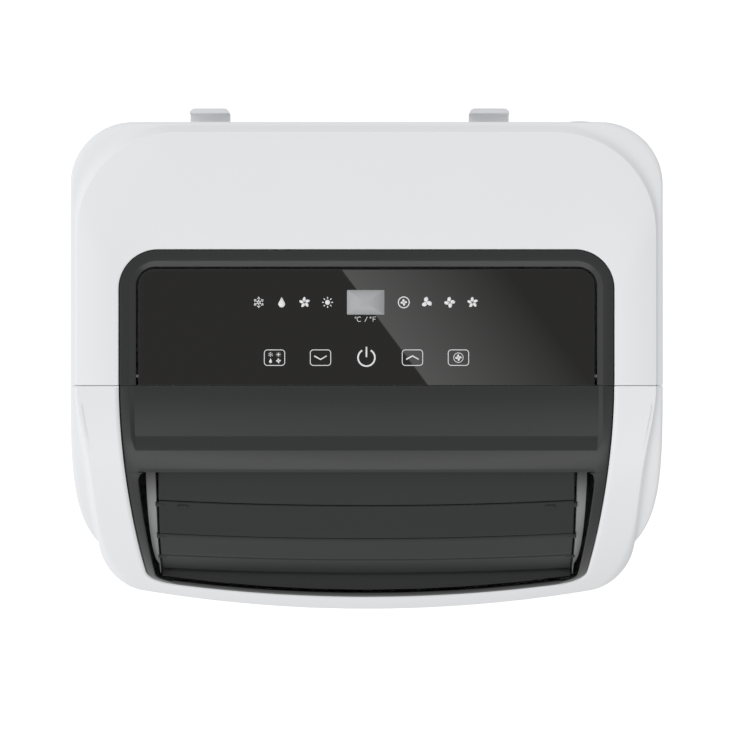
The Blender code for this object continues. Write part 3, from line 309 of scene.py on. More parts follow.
# Satin grey ABS with a painted shadow of the crossbar: darker towards its upper end, under the bar.
cheekPaintedShadowAbs = paintedShadeFinish("satin_grey_cheek_abs_painted_shadow", "#2c2d2d", "#8f9091", -0.086, -0.120)
# Screen-printed ink: even white, hardly any gloss.
markInk = mouldedFinish("screen_printed_white_ink", "#e9eaec", 0.5, 0.5, 0.002)
# Frosted acrylic over an unlit display: pale, even grey.
displayLens = mouldedFinish("frosted_display_lens", "#a9abad", 0.35, 0.8, 0.005)
print("materials ready")

# Casing: the hood formulas shared by the skins, the frame and the louvres

frontBox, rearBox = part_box("front_shell"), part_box("rear_shell")
casing = {
    "half": frontBox[1][0],
    "height": rearBox[1][2],
    "bottom": rearBox[0][2],
    "frontY": frontBox[0][1],
    "backY": rearBox[1][1],
    "seamY": (frontBox[1][1] + rearBox[0][1]) / 2,
    "hoodDrop": 0.180,
    "crown": 0.478,
    "sideRun": 0.1555,
    "ribbonHalf": 0.2015,
    "ribbonFlare": 0.0110,  # the ribbon is this much wider at the seam
    "flareLength": 0.050,
    "edgeRadius": 0.0012,
    "cornerRadius": 0.028,
    "backCorner": 0.046,
    "ridgeCorner": 0.074,
    "wall": 0.0025,
    "tuckUnder": 0.004,  # how far the flank runs on behind the ribbon's edge
    "ledge": 0.0055,
    "backLedge": 0.0080,
}
hoodRun = casing["seamY"] - casing["frontY"]
hoodFoot = casing["height"] - casing["hoodDrop"]
insert = {
    "half": 0.182,
    "taper": 0.019,
    "back": 0.100,
    "corner": 0.029,
    "lowDeg": 68.8,
    "cornerFromDeg": 62.4,
    "lowCorner": 0.016,
    "side": 0.0115,
    "narrowing": 0.42,
}
# (share of the ledge, drop from the top in mm) of the shoulder between the side wall and the ridge line
shoulder = np.array([
    (0, 14), (0, 9), (0.02, 7.4), (0.09, 6.3), (0.22, 5.7), (0.38, 5.5), (0.54, 5.4), (0.66, 5.2),
    (0.76, 4.6), (0.84, 3.4), (0.90, 2.0), (0.94, 0.9), (0.97, 0.25), (0.985, 0.05), (1.0, 0),
])


# Half width of the ridge line: a constant plus a bell that dies away ahead of the seam.
def ridgeHalf(reach):
    return casing["ribbonHalf"] + casing["ribbonFlare"] * np.exp(-((reach / casing["flareLength"]) ** 2))


# The insert narrows with the 1.8 power of the reach, and its rim narrows in step.
def insertHalf(reach, margin=0.0):
    share = np.clip(reach / hoodRun, 0, 1)
    return insert["half"] - margin * (1 - insert["narrowing"] * share) - insert["taper"] * share**1.8


# A point on the hood: a quarter turn about the seam line, bowed by the crown times x squared.
def hoodPlace(x, angle, inset=0.0):
    reach = hoodRun - casing["crown"] * x * x
    y = casing["seamY"] - np.sin(angle) * (reach - inset)
    z = hoodFoot + (casing["hoodDrop"] - inset) * np.cos(angle)
    return np.stack(np.broadcast_arrays(x, y, z), axis=-1)


# Rolls the last 0.8 mm beside the seam under, by the square of the closeness to it.
def seamRoll(points):
    near = np.clip(1 - (np.abs(points[..., 1] - casing["seamY"]) - gap / 2) / 0.0008, 0, 1) ** 2 * 0.0006
    onTop = points[..., 2] > casing["height"] - 0.020
    onSide = np.abs(points[..., 0]) > casing["half"] - 0.008
    points[..., 2] -= np.where(onTop, near, 0)
    points[..., 0] -= np.where(onSide, np.sign(points[..., 0]) * near, 0)
    return points


# Angles down the hood: close beside the seam, even over the hood, then crowding into the low corner.
def hoodRows():
    beside = np.arcsin(np.array([gap / 2, 0.0003, 0.0006, 0.0010, 0.0020]) / hoodRun)
    even = np.radians(np.linspace(1.5, insert["cornerFromDeg"], 44))
    span = math.radians(insert["lowDeg"] - insert["cornerFromDeg"])
    cornerRows = np.radians(insert["cornerFromDeg"]) + span * np.sin(np.radians(np.linspace(6, 90, 15)))
    return np.concatenate([beside, even, cornerRows])


# Plan radius of the ribbon's corner: small over the top, growing with the sixth power towards the front.
def ridgeRadius(angle):
    return np.sin(angle) * (casing["edgeRadius"] + casing["cornerRadius"] * np.sin(angle) ** 5)


# Where the ribbon meets its flank at each angle: half width, distance ahead of the seam, height.
def ridgeLine(angle):
    reach = (hoodRun - casing["crown"] * casing["ribbonHalf"] ** 2) * np.sin(angle)
    x = ridgeHalf(reach)
    ahead = np.sin(angle) * (hoodRun - casing["crown"] * x * x) - ridgeRadius(angle)
    return x, np.maximum(ahead, gap / 2), hoodFoot + casing["hoodDrop"] * np.cos(angle)


# Half width of the insert's outline at each angle, pulled in along a quarter circle at its low corner.
def insertEdge(angle, margin=0.0):
    reach = hoodRun * np.sin(angle)
    low, first = math.radians(insert["lowDeg"]), math.radians(insert["cornerFromDeg"])
    share = np.clip((angle - first) / (low - first), 0, 1)
    pull = insert["lowCorner"] * (1 - np.sqrt(1 - share**2))
    return insertHalf(reach, margin) - pull


# Ribbon over the top, hood and front, then the two side walls with their shoulders.
def frontSkin():
    upper = hoodRows()
    lower = np.radians(np.linspace(insert["lowDeg"], 90, 15)[1:])
    angle = np.concatenate([upper, lower])
    rho = ridgeRadius(angle)
    ridge, ridgeAhead, _ = ridgeLine(angle)
    inner = insertEdge(np.minimum(angle, math.radians(insert["lowDeg"])))
    middle = np.linspace(0, 1, 25)
    strip = np.linspace(0, 1, 9)[1:]
    turn = np.radians(np.linspace(0, 90, 13))[1:]
    x = np.concatenate(
        [
            inner[:, None] * middle,
            inner[:, None] + (ridge - rho - inner)[:, None] * strip,
            (ridge - rho)[:, None] + rho[:, None] * np.sin(turn),
        ],
        axis=1,
    )
    setback = np.zeros_like(x)
    setback[:, -len(turn):] = rho[:, None] * (1 - np.cos(turn))
    half = hoodPlace(x, angle[:, None])
    half[..., 1] += setback
    half[..., 1] = np.minimum(half[..., 1], casing["seamY"] - gap / 2)
    half[:, -1, 1] = casing["seamY"] - ridgeAhead
    tuck = half[:, -1:].copy()
    tuck[..., 1] += np.sin(angle)[:, None] * 0.0022
    tuck[..., 1] = np.minimum(tuck[..., 1], casing["seamY"] - gap / 2)
    tuck[..., 2] -= np.cos(angle)[:, None] * 0.0022
    half = np.concatenate([half, tuck], axis=1)
    down = np.linspace(hoodFoot, casing["bottom"], 12)[1:]
    foot = np.repeat(half[-1:], len(down), axis=0)
    foot[..., 2] = down[:, None]
    half = np.concatenate([half, foot])
    left = half[:, :0:-1] * np.array([-1, 1, 1])
    ribbon = seamRoll(np.concatenate([left, half], axis=1))
    across = np.arange(ribbon.shape[1] - 1) - (half.shape[1] - 1)
    inHole = (across >= -(len(middle) - 1)) & (across < len(middle) - 1)
    above = np.arange(ribbon.shape[0] - 1) < len(upper) - 1
    skip = above[:, None] & inHole[None, :]

    ridgeX, q, zTop = ridgeLine(angle)
    q = np.maximum.accumulate(q)
    ridgeX, zTop = np.append(ridgeX, ridgeX[-1]), np.append(zTop, zTop[-1])
    q = np.append(q, q[-1] + casing["tuckUnder"])
    wallX = casing["half"] * (1 - np.clip(q / casing["sideRun"], 0, 1) ** 4.5) ** (1 / 4.5)
    share = shoulder[::-1, 0]
    drop = shoulder[::-1, 1] / 1000
    side = np.stack(
        np.broadcast_arrays(
            wallX[:, None] - share * (wallX - ridgeX)[:, None],
            (casing["seamY"] - q)[:, None],
            zTop[:, None] - drop,
        ),
        axis=-1,
    )
    levels = np.linspace(0, 1, 14)[1:]
    wallLine = np.repeat(side[:, -1:], len(levels), axis=1)
    wallLine[..., 2] += (casing["bottom"] - wallLine[..., 2]) * levels
    side = seamRoll(np.concatenate([side, wallLine], axis=1))
    return ribbon, skip, side


ribbonGrid, ribbonSkip, sideGrid = frontSkin()
inside = (0, casing["seamY"] + 0.02, 0.35)
ribbonMesh = facing(sheetMesh("casing_ribbon", [ribbonGrid], [ribbonSkip]), inside)
place("casing_ribbon", ribbonMesh, whiteAbs, "casing", "front_shell")
thicken(bpy.data.objects["casing_ribbon"], casing["wall"])
for label, sign in (("left", -1), ("right", 1)):
    flank = facing(sheetMesh(f"casing_flank_{label}", [sideGrid * np.array([sign, 1, 1])]), inside)
    thicken(place(f"casing_flank_{label}", flank, whiteAbs, "casing"), casing["wall"])
print("front skin ready")


# A U in plan from the right seam point, round both back corners, to the left one.
def roundedU(half, back, radius, front):
    straight = np.concatenate([[0, 0.0003, 0.0006, 0.0010], np.linspace(0.0020, back - radius - front, 22)])
    right = np.stack([np.full(len(straight), half), front + straight], axis=-1)
    turn = np.radians(np.linspace(0, 90, 19))[1:]
    corner = np.stack([np.cos(turn), np.sin(turn)], axis=-1) * radius
    corner += np.array([half - radius, back - radius])
    along = np.linspace(half - radius, 0, 15)[1:]
    line = np.stack([along, np.full(len(along), back)], axis=-1)
    rightHalf = np.concatenate([right, corner, line])
    return np.concatenate([rightHalf, rightHalf[-2::-1] * np.array([-1, 1])])


# Rows of U outlines, each from (half, back, radius, z).
def ringGrid(levels, front):
    rows = []
    for half, back, radius, z in levels:
        outline = roundedU(half, back, radius, front)
        rows.append(np.concatenate([outline, np.full((len(outline), 1), z)], axis=1))
    return np.stack(rows)


rearFront = casing["seamY"] + gap / 2
insertBack = casing["seamY"] + insert["back"]
top = casing["height"]
rearLevels = [(insert["half"], insertBack, insert["corner"], top - 0.0012)]
rearLevels += [(insert["half"] + m, insertBack + m, insert["corner"] + m, top - d) for m, d in
               ((0.0002, 0.0004), (0.0006, 0.0001), (0.0012, 0.0))]
for share, drop in shoulder[::-1]:
    radius = casing["backCorner"] + (casing["ridgeCorner"] - casing["backCorner"]) * share
    side, behind = casing["half"] - casing["ledge"] * share, casing["backY"] - casing["backLedge"] * share
    rearLevels.append((side, behind, radius, top - drop / 1000))
for z in np.linspace(top - 0.014, casing["bottom"], 16)[1:]:
    rearLevels.append((casing["half"], casing["backY"], casing["backCorner"], z))
rearMesh = facing(sheetMesh("casing_rear", [seamRoll(ringGrid(rearLevels, rearFront))]), (0, 0.02, 0.35))
rearSkin = place("casing_rear", rearMesh, whiteAbs, "casing", "rear_shell")
thicken(rearSkin, casing["wall"])


# A closed prism over a flat outline, used to open a wall.
def plug(name, outline, axis, low, high):
    outline = np.asarray(outline)
    order = {"Z": (0, 1, 2), "Y": (0, 2, 1), "X": (1, 2, 0)}[axis]
    count = len(outline)
    flat = np.zeros((2 * count, 3))
    flat[:, order[0]] = np.tile(outline[:, 0], 2)
    flat[:, order[1]] = np.tile(outline[:, 1], 2)
    flat[:, order[2]] = np.repeat([low, high], count)
    ring = np.arange(count)
    following = (ring + 1) % count
    sides = np.stack([ring, following, following + count, ring + count], axis=-1).tolist()
    mesh = bpy.data.meshes.new(name)
    mesh.from_pydata(flat.tolist(), [], [*sides, ring[::-1].tolist(), (ring + count).tolist()])
    obj = bpy.data.objects.new(name, outward(mesh))
    bpy.context.scene.collection.objects.link(obj)
    return obj


# A rectangle with quarter-circle corners, counter-clockwise.
def roundedBox(cx, cy, halfX, halfY, radius, perCorner=10):
    turn = np.radians(np.linspace(0, 90, perCorner))
    quarter = np.stack([np.cos(turn), np.sin(turn)], axis=-1) * radius
    shift = np.array([halfX - radius, halfY - radius])
    first = quarter + shift
    second = first[::-1] * np.array([-1, 1])
    return np.concatenate([first, second, -first, -second]) + np.array([cx, cy])


# A circle: the cosine and sine of the turn, times the radius.
def roundHole(cx, cz, radius, count=64):
    turn = np.linspace(0, 2 * np.pi, count, endpoint=False)
    return np.stack([cx + radius * np.cos(turn), cz + radius * np.sin(turn)], axis=-1)


# The middle of a node's box along the axes given.
def middleOf(node, *axes):
    low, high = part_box(node)
    return [(low[a] + high[a]) / 2 for a in axes]


# Half the size of a node's box along the axes given.
def halvesOf(node, *axes):
    low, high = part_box(node)
    return [(high[a] - low[a]) / 2 for a in axes]


openings = []
for node, radius in (("intake_cover", 0.006), ("lower_grille", 0.006)):
    (cx, cz), (hx, hz) = middleOf(node, 0, 2), halvesOf(node, 0, 2)
    outline = roundedBox(cx, cz, hx + spare, hz + spare, radius)
    openings.append(plug(f"open_{node}", outline, "Y", 0.12, 0.20))
for node in ("exhaust_collar", "drain_spigot_upper", "drain_spigot_lower"):
    cx, cz = middleOf(node, 0, 2)
    openings.append(plug(f"open_{node}", roundHole(cx, cz, halvesOf(node, 0)[0] + spare), "Y", 0.14, 0.20))
glandX, glandZ = middleOf("cord_gland", 0, 2)
openings.append(plug("open_gland", roundHole(glandX, glandZ, 0.0081, 32), "Y", 0.14, 0.20))
cupY, cupZ = middleOf("handle_cup_left", 1, 2)
cupHalfY, cupHalfZ = halvesOf("handle_cup_left", 1, 2)
for sign in (-1, 1):
    span = sorted((sign * 0.19, sign * 0.24))
    outline = roundedBox(cupY, cupZ, cupHalfY + spare, cupHalfZ + spare, cupHalfZ, 20)
    openings.append(plug(f"open_handle_{sign}", outline, "X", *span))
for opening in openings:
    cutStep = rearSkin.modifiers.new("opening", "BOOLEAN")
    cutStep.operation = "DIFFERENCE"
    cutStep.object = opening
    cutStep.solver = "EXACT"
baked(rearSkin)
for opening in openings:
    bpy.data.objects.remove(opening)
rearSkin.data.materials.clear()
rearSkin.data.materials.append(whiteAbs)
rearSkin.data.shade_smooth()
rearSkin.data.set_sharp_from_angle(angle=math.radians(35))
print("rear skin ready")

# Control bezel, panel and its marks

bezel = {
    "panelCorner": 0.012,
    "wall": 0.0012,
    "panelWall": 0.0015,
}
bezelSteps = (  # (margin from the insert's outline, drop from the top, corner radius)
    (0.0006, 0.0030, 0.0284), (0.0006, 0.0007, 0.0284), (0.0008, 0.0003, 0.0282), (0.0012, 0.0, 0.0278),
    (0.0083, 0.0, 0.0200), (0.0086, 0.0001, 0.0196), (0.0090, 0.0003, 0.0190), (0.0122, 0.0013, 0.0150),
    (0.0126, 0.0015, 0.0144), (0.0127, 0.0030, 0.0143),
)
bezelLevels = [(insert["half"] - m, insertBack - m, r, top - d) for m, d, r in bezelSteps]
bezelMesh = facing(sheetMesh("control_bezel_rim", [ringGrid(bezelLevels, rearFront)]), (0, 0.02, 0.60))
thicken(place("control_bezel_rim", bezelMesh, darkAbs, "casing", "control_bezel"), bezel["wall"])

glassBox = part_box("control_glass")
panelTop = glassBox[1][2]
panelSteps = (  # (margin from the panel's outline, drop from its top)
    (0.0, 0.0022), (0.0, 0.0004), (0.0001, 0.0002), (0.0004, 0.0), (0.0006, 0.0), (0.0010, 0.0),
    (0.0200, 0.0),
)
panelRows = []
for margin, drop in panelSteps:
    corner = max(0.002, bezel["panelCorner"] - margin)
    outline = roundedU(glassBox[1][0] - margin, glassBox[1][1] - margin, corner, rearFront)
    panelRows.append(np.concatenate([outline, np.full((len(outline), 1), panelTop - drop)], axis=1))
spine = panelRows[-1].copy()
spine[:, 0] = 0
panelRows.append(spine)
panelMesh = facing(sheetMesh("touch_panel", [np.stack(panelRows)]), (0, 0.02, 0.60))
thicken(place("touch_panel", panelMesh, glossPanel, "casing", "control_glass"), bezel["panelWall"])


# Gathers flat printed marks, each a thin quad strip or fan just proud of the panel.
class markSheet:
    def __init__(self, level):
        self.level = level
        self.grids = []

    # A strip of constant width: each point moves half a width along the normal of its neighbours.
    def line(self, points, width, closed=False):
        points = np.asarray(points, float)
        if closed:
            before, after = np.roll(points, 1, axis=0), np.roll(points, -1, axis=0)
        else:
            before = np.concatenate([points[:1], points[:-1]])
            after = np.concatenate([points[1:], points[-1:]])
        way = after - before
        way /= np.linalg.norm(way, axis=1, keepdims=True) + 1e-12
        normal = np.stack([-way[:, 1], way[:, 0]], axis=-1) * width / 2
        rows = np.stack([points + normal, points - normal])
        if closed:
            rows = np.concatenate([rows, rows[:, :1]], axis=1)
        self.grids.append(np.concatenate([rows, np.full((*rows.shape[:2], 1), self.level)], axis=-1))

    # A line round an arc, closed when it goes all the way.
    def ring(self, centre, radius, width, start=0, end=360):
        count = max(8, int(abs(end - start) / 12))
        turn = np.radians(np.linspace(start, end, count + 1))
        points = np.stack([centre[0] + radius * np.cos(turn), centre[1] + radius * np.sin(turn)], axis=-1)
        whole = abs(end - start) >= 360
        self.line(points[:-1] if whole else points, width, whole)

    # A fan from the centre to the outline.
    def filled(self, outline, centre):
        outline = np.asarray(outline)
        outline = np.concatenate([outline, outline[:1]])
        rows = np.stack([outline, np.tile(np.asarray(centre, float), (len(outline), 1))])
        self.grids.append(np.concatenate([rows, np.full((*rows.shape[:2], 1), self.level)], axis=-1))


# Unit vectors at equal steps round a circle, the first one upwards.
def spokes(count, first=90):
    turn = np.radians(first + 360 / count * np.arange(count))
    return np.stack([np.cos(turn), np.sin(turn)], axis=-1)


# Six spokes, each with a small V at 0.55 of its length.
def snowflake(marks, c, r, w):
    for way in spokes(6):
        across = np.array([-way[1], way[0]])
        marks.line([c, c + way * r], w)
        knee = c + way * r * 0.55
        marks.line([knee + (way + across) * r * 0.24, knee, knee + (way - across) * r * 0.24], w)


# An arc of 260 degrees that runs up to a point.
def droplet(marks, c, r, w):
    turn = np.radians(np.linspace(-220, 40, 20))
    bowl = np.stack([np.cos(turn), np.sin(turn)], axis=-1) * r * 0.62 + c - np.array([0, r * 0.3])
    marks.filled(np.concatenate([bowl, [c + np.array([0, r])]]), c - np.array([0, r * 0.3]))


# Petals: the radius follows the sine of half a lobe, leaning round the hub.
def fan(marks, c, r, w, blades):
    t = np.linspace(0, np.pi, 14)
    for way in spokes(blades):
        across = np.array([-way[1], way[0]])
        width = r * min(0.50, 1.75 / blades)
        lobe = c + np.outer(0.5 * (1 - np.cos(t)) * r, way) + np.outer(np.sin(t) * width, across)
        back = c + np.outer(0.5 * (1 + np.cos(t)) * r, way) - np.outer(np.sin(t) * width * 0.55, across)
        marks.filled(np.concatenate([lobe, back[1:-1]]), c + way * r * 0.55 + across * width * 0.2)


# A disc of 0.46 of the radius with eight short rays.
def sun(marks, c, r, w):
    turn = np.radians(np.arange(0, 360, 20))
    marks.filled(np.stack([np.cos(turn), np.sin(turn)], axis=-1) * r * 0.46 + c, c)
    for way in spokes(8):
        marks.line([c + way * r * 0.68, c + way * r], w)


# A rectangle with rounded corners, drawn as one closed line.
def keyOutline(marks, c, halfX, halfY, radius, w):
    marks.line(roundedBox(c[0], c[1], halfX, halfY, radius, 6), w, True)


touch = {
    "upperFromBack": 0.0244,  # centre line of the indicator row
    "lowerFromSeam": 0.0205,  # centre line of the key row
    "pitch": 0.01685,
    "keyPitch": 0.03376,
    "mark": 0.0040,
    "line": 0.00075,
    "keyHalf": (0.0075, 0.0057),
    "displayHalf": (0.0137, 0.0090),
}
marks = markSheet(panelTop + 0.00006)
upperY = glassBox[1][1] - touch["upperFromBack"]
lowerY = casing["seamY"] + touch["lowerFromSeam"]
size, thin = touch["mark"], touch["line"]
firstX = -0.0791
for i, draw in enumerate((snowflake, droplet, None, sun)):
    spot = np.array([firstX + touch["pitch"] * i, upperY])
    if draw:
        draw(marks, spot, size, thin)
    else:
        fan(marks, spot, size, thin, 5)
for i, blades in enumerate((4, 3, 4, 5)):
    spot = np.array([0.0274 + touch["pitch"] * i, upperY])
    fan(marks, spot, size * (0.62 if i == 0 else 1), thin, blades)
    if i == 0:
        marks.ring(spot, size, thin)
keyHalfX, keyHalfY = touch["keyHalf"]
for step in (-2, -1, 1, 2):
    spot = np.array([touch["keyPitch"] * step, lowerY])
    keyOutline(marks, spot, keyHalfX, keyHalfY, 0.0022, 0.00055)
    if step == -2:
        for dx, dy, draw in ((-1, 1, snowflake), (1, 1, sun), (-1, -1, droplet)):
            draw(marks, spot + np.array([dx * 0.0029, dy * 0.0023]), 0.0018, 0.0003)
        fan(marks, spot + np.array([0.0029, -0.0023]), 0.0018, 0.0003, 4)
    elif step == 2:
        marks.ring(spot, 0.0035, 0.00045)
        fan(marks, spot, 0.0024, 0.0004, 4)
    else:
        tip = 0.0013 * step
        marks.line([spot + (-0.0046, -tip), spot + (0, tip), spot + (0.0046, -tip)], 0.0010)
power = np.array([0.0, lowerY])
marks.ring(power, 0.0062, 0.0012, 120, 420)
marks.line([power + (0, 0.0004), power + (0, 0.0080)], 0.0012)
unitY = upperY - 0.0124
marks.ring((-0.0080, unitY + 0.0012), 0.0005, 0.0003)
marks.ring((-0.0052, unitY), 0.0017, 0.0004, 50, 310)
marks.line([(-0.0012, unitY - 0.0018), (0.0006, unitY + 0.0018)], 0.0004)
marks.ring((0.0030, unitY + 0.0012), 0.0005, 0.0003)
marks.line([(0.0048, unitY - 0.0017), (0.0048, unitY + 0.0017), (0.0070, unitY + 0.0017)], 0.0004)
marks.line([(0.0048, unitY), (0.0066, unitY)], 0.0004)
inkMesh = facing(sheetMesh("panel_marks", marks.grids, weld=1e-7), (0, 0.02, 0.5))
thicken(place("panel_marks", inkMesh, markInk, "casing"), 0.00004)
lens = markSheet(panelTop + 0.00005)
lens.filled(roundedBox(-0.0006, upperY, *touch["displayHalf"], 0.0006, 4), (-0.0006, upperY))
lensMesh = facing(sheetMesh("display_lens", lens.grids, weld=1e-7), (0, 0.02, 0.5))
thicken(place("display_lens", lensMesh, displayLens, "casing"), 0.00004)
print("control panel ready")

# Outlet frame

outlet = {
    "pocketDepth": 0.0025,
    "pocketEnd": 12.7,
    "barStart": 16.0,
    "openBack": 21.9,
    "openLow": 66.5,
    "barRoll": 0.0012,
    "lipRoll": 0.0014,
    "pocketStart": 0.0009,  # depth where the pocket meets the touch panel
    "pocketSlope": 0.0030,  # width of the pocket's sloped side wall
    "openCorner": 0.008,
    "rimCrown": 0.0010,  # how far the rim's outer edge lies below its inner edge
    "wall": 0.0022,
}


# Rim, pocket, crossbar and opening as depths below the hood, each a function of x and the angle.
def frameGrid():
    low = insert["lowDeg"] - 0.3
    beside = np.degrees(np.arcsin(np.array([gap / 2, 0.0006, 0.0012]) / hoodRun))
    degrees = np.concatenate([
        beside, np.linspace(1.5, 12.5, 10), [12.7, 12.9], np.linspace(13.4, 15.8, 6), [16.0, 16.2],
        np.linspace(17, 20.7, 9), np.linspace(21.0, 21.9, 8), np.linspace(22.4, 63.5, 30),
        63.5 + 3.0 * np.sin(np.radians(np.linspace(10, 90, 9))),
        [66.7, 66.9, 67.2, 67.6, 68.0, 68.2, 68.35, 68.45, low],
    ])
    straight = np.clip((50 - degrees) / 26, 0, 1)

    # Rows keep one angle low down, and one distance from the seam near the bar.
    def rowAngle(across):
        stretch = 1 + straight[:, None] * (hoodRun / (hoodRun - casing["crown"] * across**2) - 1)
        return np.arcsin(np.sin(np.radians(degrees))[:, None] * stretch)

    outer = insertEdge(np.radians(degrees))
    for _ in range(3):
        edgeAngle = np.minimum(rowAngle(outer[:, None])[:, 0], math.radians(insert["lowDeg"] - 0.6))
        outer = insertEdge(edgeAngle) - spare
    opening = outer + spare - insert["side"] * (
        1 - insert["narrowing"] * np.sin(rowAngle(outer[:, None])[:, 0])
    )
    share = np.clip((degrees - 63.5) / (outlet["openLow"] - 63.5), 0, 1)
    opening = opening - outlet["openCorner"] * (1 - np.sqrt(1 - share**2))
    upperShare = np.clip((24.5 - degrees) / 2.6, 0, 1) * (degrees >= outlet["openBack"])
    opening = opening - outlet["openCorner"] * 0.6 * (1 - np.sqrt(1 - upperShare**2))
    innerCols = np.concatenate([np.linspace(0, 0.985, 20), [0.993, 0.997, 1.0]])
    rimCols = np.concatenate([
        [0.02, 0.05, 0.10, 0.15, 0.20, 0.24, 0.26, 0.28, 0.32], np.linspace(0.4, 0.86, 5),
        [0.92, 0.96, 0.985, 1.0],
    ])
    rim = opening[:, None] + (outer - opening)[:, None] * rimCols
    x = np.concatenate([opening[:, None] * innerCols, rim], axis=1)
    rampLong = outlet["barStart"] - outlet["pocketEnd"]
    rise = np.clip((outlet["barStart"] - degrees) / rampLong, 0, 1)[:, None]
    slope = outlet["pocketSlope"] * np.clip(rise, 0.05, 1)
    intoRim = np.clip((opening[:, None] + slope - x) / slope, 0, 1)
    sink = np.clip(degrees / outlet["pocketEnd"], 0, 1)[:, None]
    deepen = outlet["pocketDepth"] - outlet["pocketStart"]
    floorDepth = outlet["pocketStart"] + deepen * sink**2 * (3 - 2 * sink)
    depth = floorDepth * rise * intoRim
    inward = (x - opening[:, None]) / 0.0012
    besideOpening = ((degrees >= outlet["openBack"]) & (degrees <= outlet["openLow"]))[:, None]
    roll = 1 - np.sqrt(np.clip(1 - np.clip(1 - inward, 0, 1) ** 2, 0, 1))
    depth = np.maximum(depth, 0.0012 * roll * besideOpening)
    barShare = np.clip((degrees - 20.7) / (outlet["openBack"] - 20.7), 0, 1)[:, None]
    barDepth = outlet["barRoll"] * (1 - np.sqrt(1 - barShare**2)) * (degrees <= outlet["openBack"])[:, None]
    depth = np.maximum(depth, barDepth * np.clip((opening[:, None] - x) / 0.002, 0, 1))
    lipShare = np.clip((67.6 - degrees) / 1.1, 0, 1)[:, None] * (degrees > outlet["openLow"] - 0.01)[:, None]
    lipRoll = outlet["lipRoll"] * (1 - np.sqrt(np.clip(1 - lipShare**2, 0, 1)))
    depth = np.maximum(depth, lipRoll * (x < opening[:, None] + 1e-6))
    crownShare = np.clip((x - opening[:, None]) / (outer - opening)[:, None], 0, 1)
    depth = depth + outlet["rimCrown"] * crownShare**2
    toOuter = np.clip(1 - (outer[:, None] - x) / 0.0010, 0, 1)
    depth = depth + 0.0010 * (1 - np.sqrt(np.clip(1 - toOuter**2, 0, 1)))
    toLow = np.clip(1 - (low - degrees) / 0.30, 0, 1)[:, None]
    depth = depth + 0.0010 * (1 - np.sqrt(np.clip(1 - toLow**2, 0, 1)))
    half = hoodPlace(x, rowAngle(x), depth)
    grid = np.concatenate([half[:, :0:-1] * np.array([-1, 1, 1]), half], axis=1)
    across = np.arange(grid.shape[1] - 1) - (half.shape[1] - 1)
    inOpening = (across >= -(len(innerCols) - 1)) & (across < len(innerCols) - 1)
    middleDeg = (degrees[:-1] + degrees[1:]) / 2
    inOpeningRows = (middleDeg > outlet["openBack"]) & (middleDeg < outlet["openLow"])
    return grid, inOpeningRows[:, None] & inOpening[None, :]


rimGrid, rimSkip = frameGrid()
rimMesh = facing(sheetMesh("outlet_surround", [rimGrid], [rimSkip]), inside)
thicken(place("outlet_surround", rimMesh, darkAbs, "casing", "outlet_frame", sharp=30), outlet["wall"])
print("outlet surround ready")

# Louvres

louvre = {
    "count": 4,
    "half": 0.154,
    "thick": 0.0024,
    "bow": 0.004,
    "firstDeg": 21.8,
    "stepDeg": 10.45,
    "insets": (0.0105, 0.0060, 0.0050, 0.0100, 0.0150),
    "pivotIn": 0.0035,
    "pinRadius": 0.0020,
    "pinEnd": 0.1564,
    "crank": 0.010,
    "linkX": -0.135,
    "clipX": 0.1362,
    "clipHalf": 0.0036,
    "clipRadius": 0.0017,
    "clipRise": 0.0012,
}
edgeLine = np.array([
    hoodPlace(np.array(0.0), math.radians(louvre["firstDeg"] + louvre["stepDeg"] * i), inset)[1:]
    for i, inset in enumerate(louvre["insets"])
])
edgeLine[:, 0] += louvre["bow"]


# A closed round bar between two points, with a small chamfer at both ends.
def tube(start, end, radius, count=20, chamfer=0.0003):
    start, end = np.array(start, float), np.array(end, float)
    way = (end - start) / np.linalg.norm(end - start)
    side = np.cross(way, [0.0, 0.3, 1.0])
    side /= np.linalg.norm(side)
    other = np.cross(way, side)
    turn = np.linspace(0, 2 * np.pi, count, endpoint=False)
    circle = np.outer(np.cos(turn), side) + np.outer(np.sin(turn), other)
    steps = (
        (start, 0.0), (start, radius - chamfer), (start + way * chamfer, radius),
        (end - way * chamfer, radius), (end, radius - chamfer), (end, 0.0),
    )
    return np.stack([centre + circle * r for centre, r in steps])


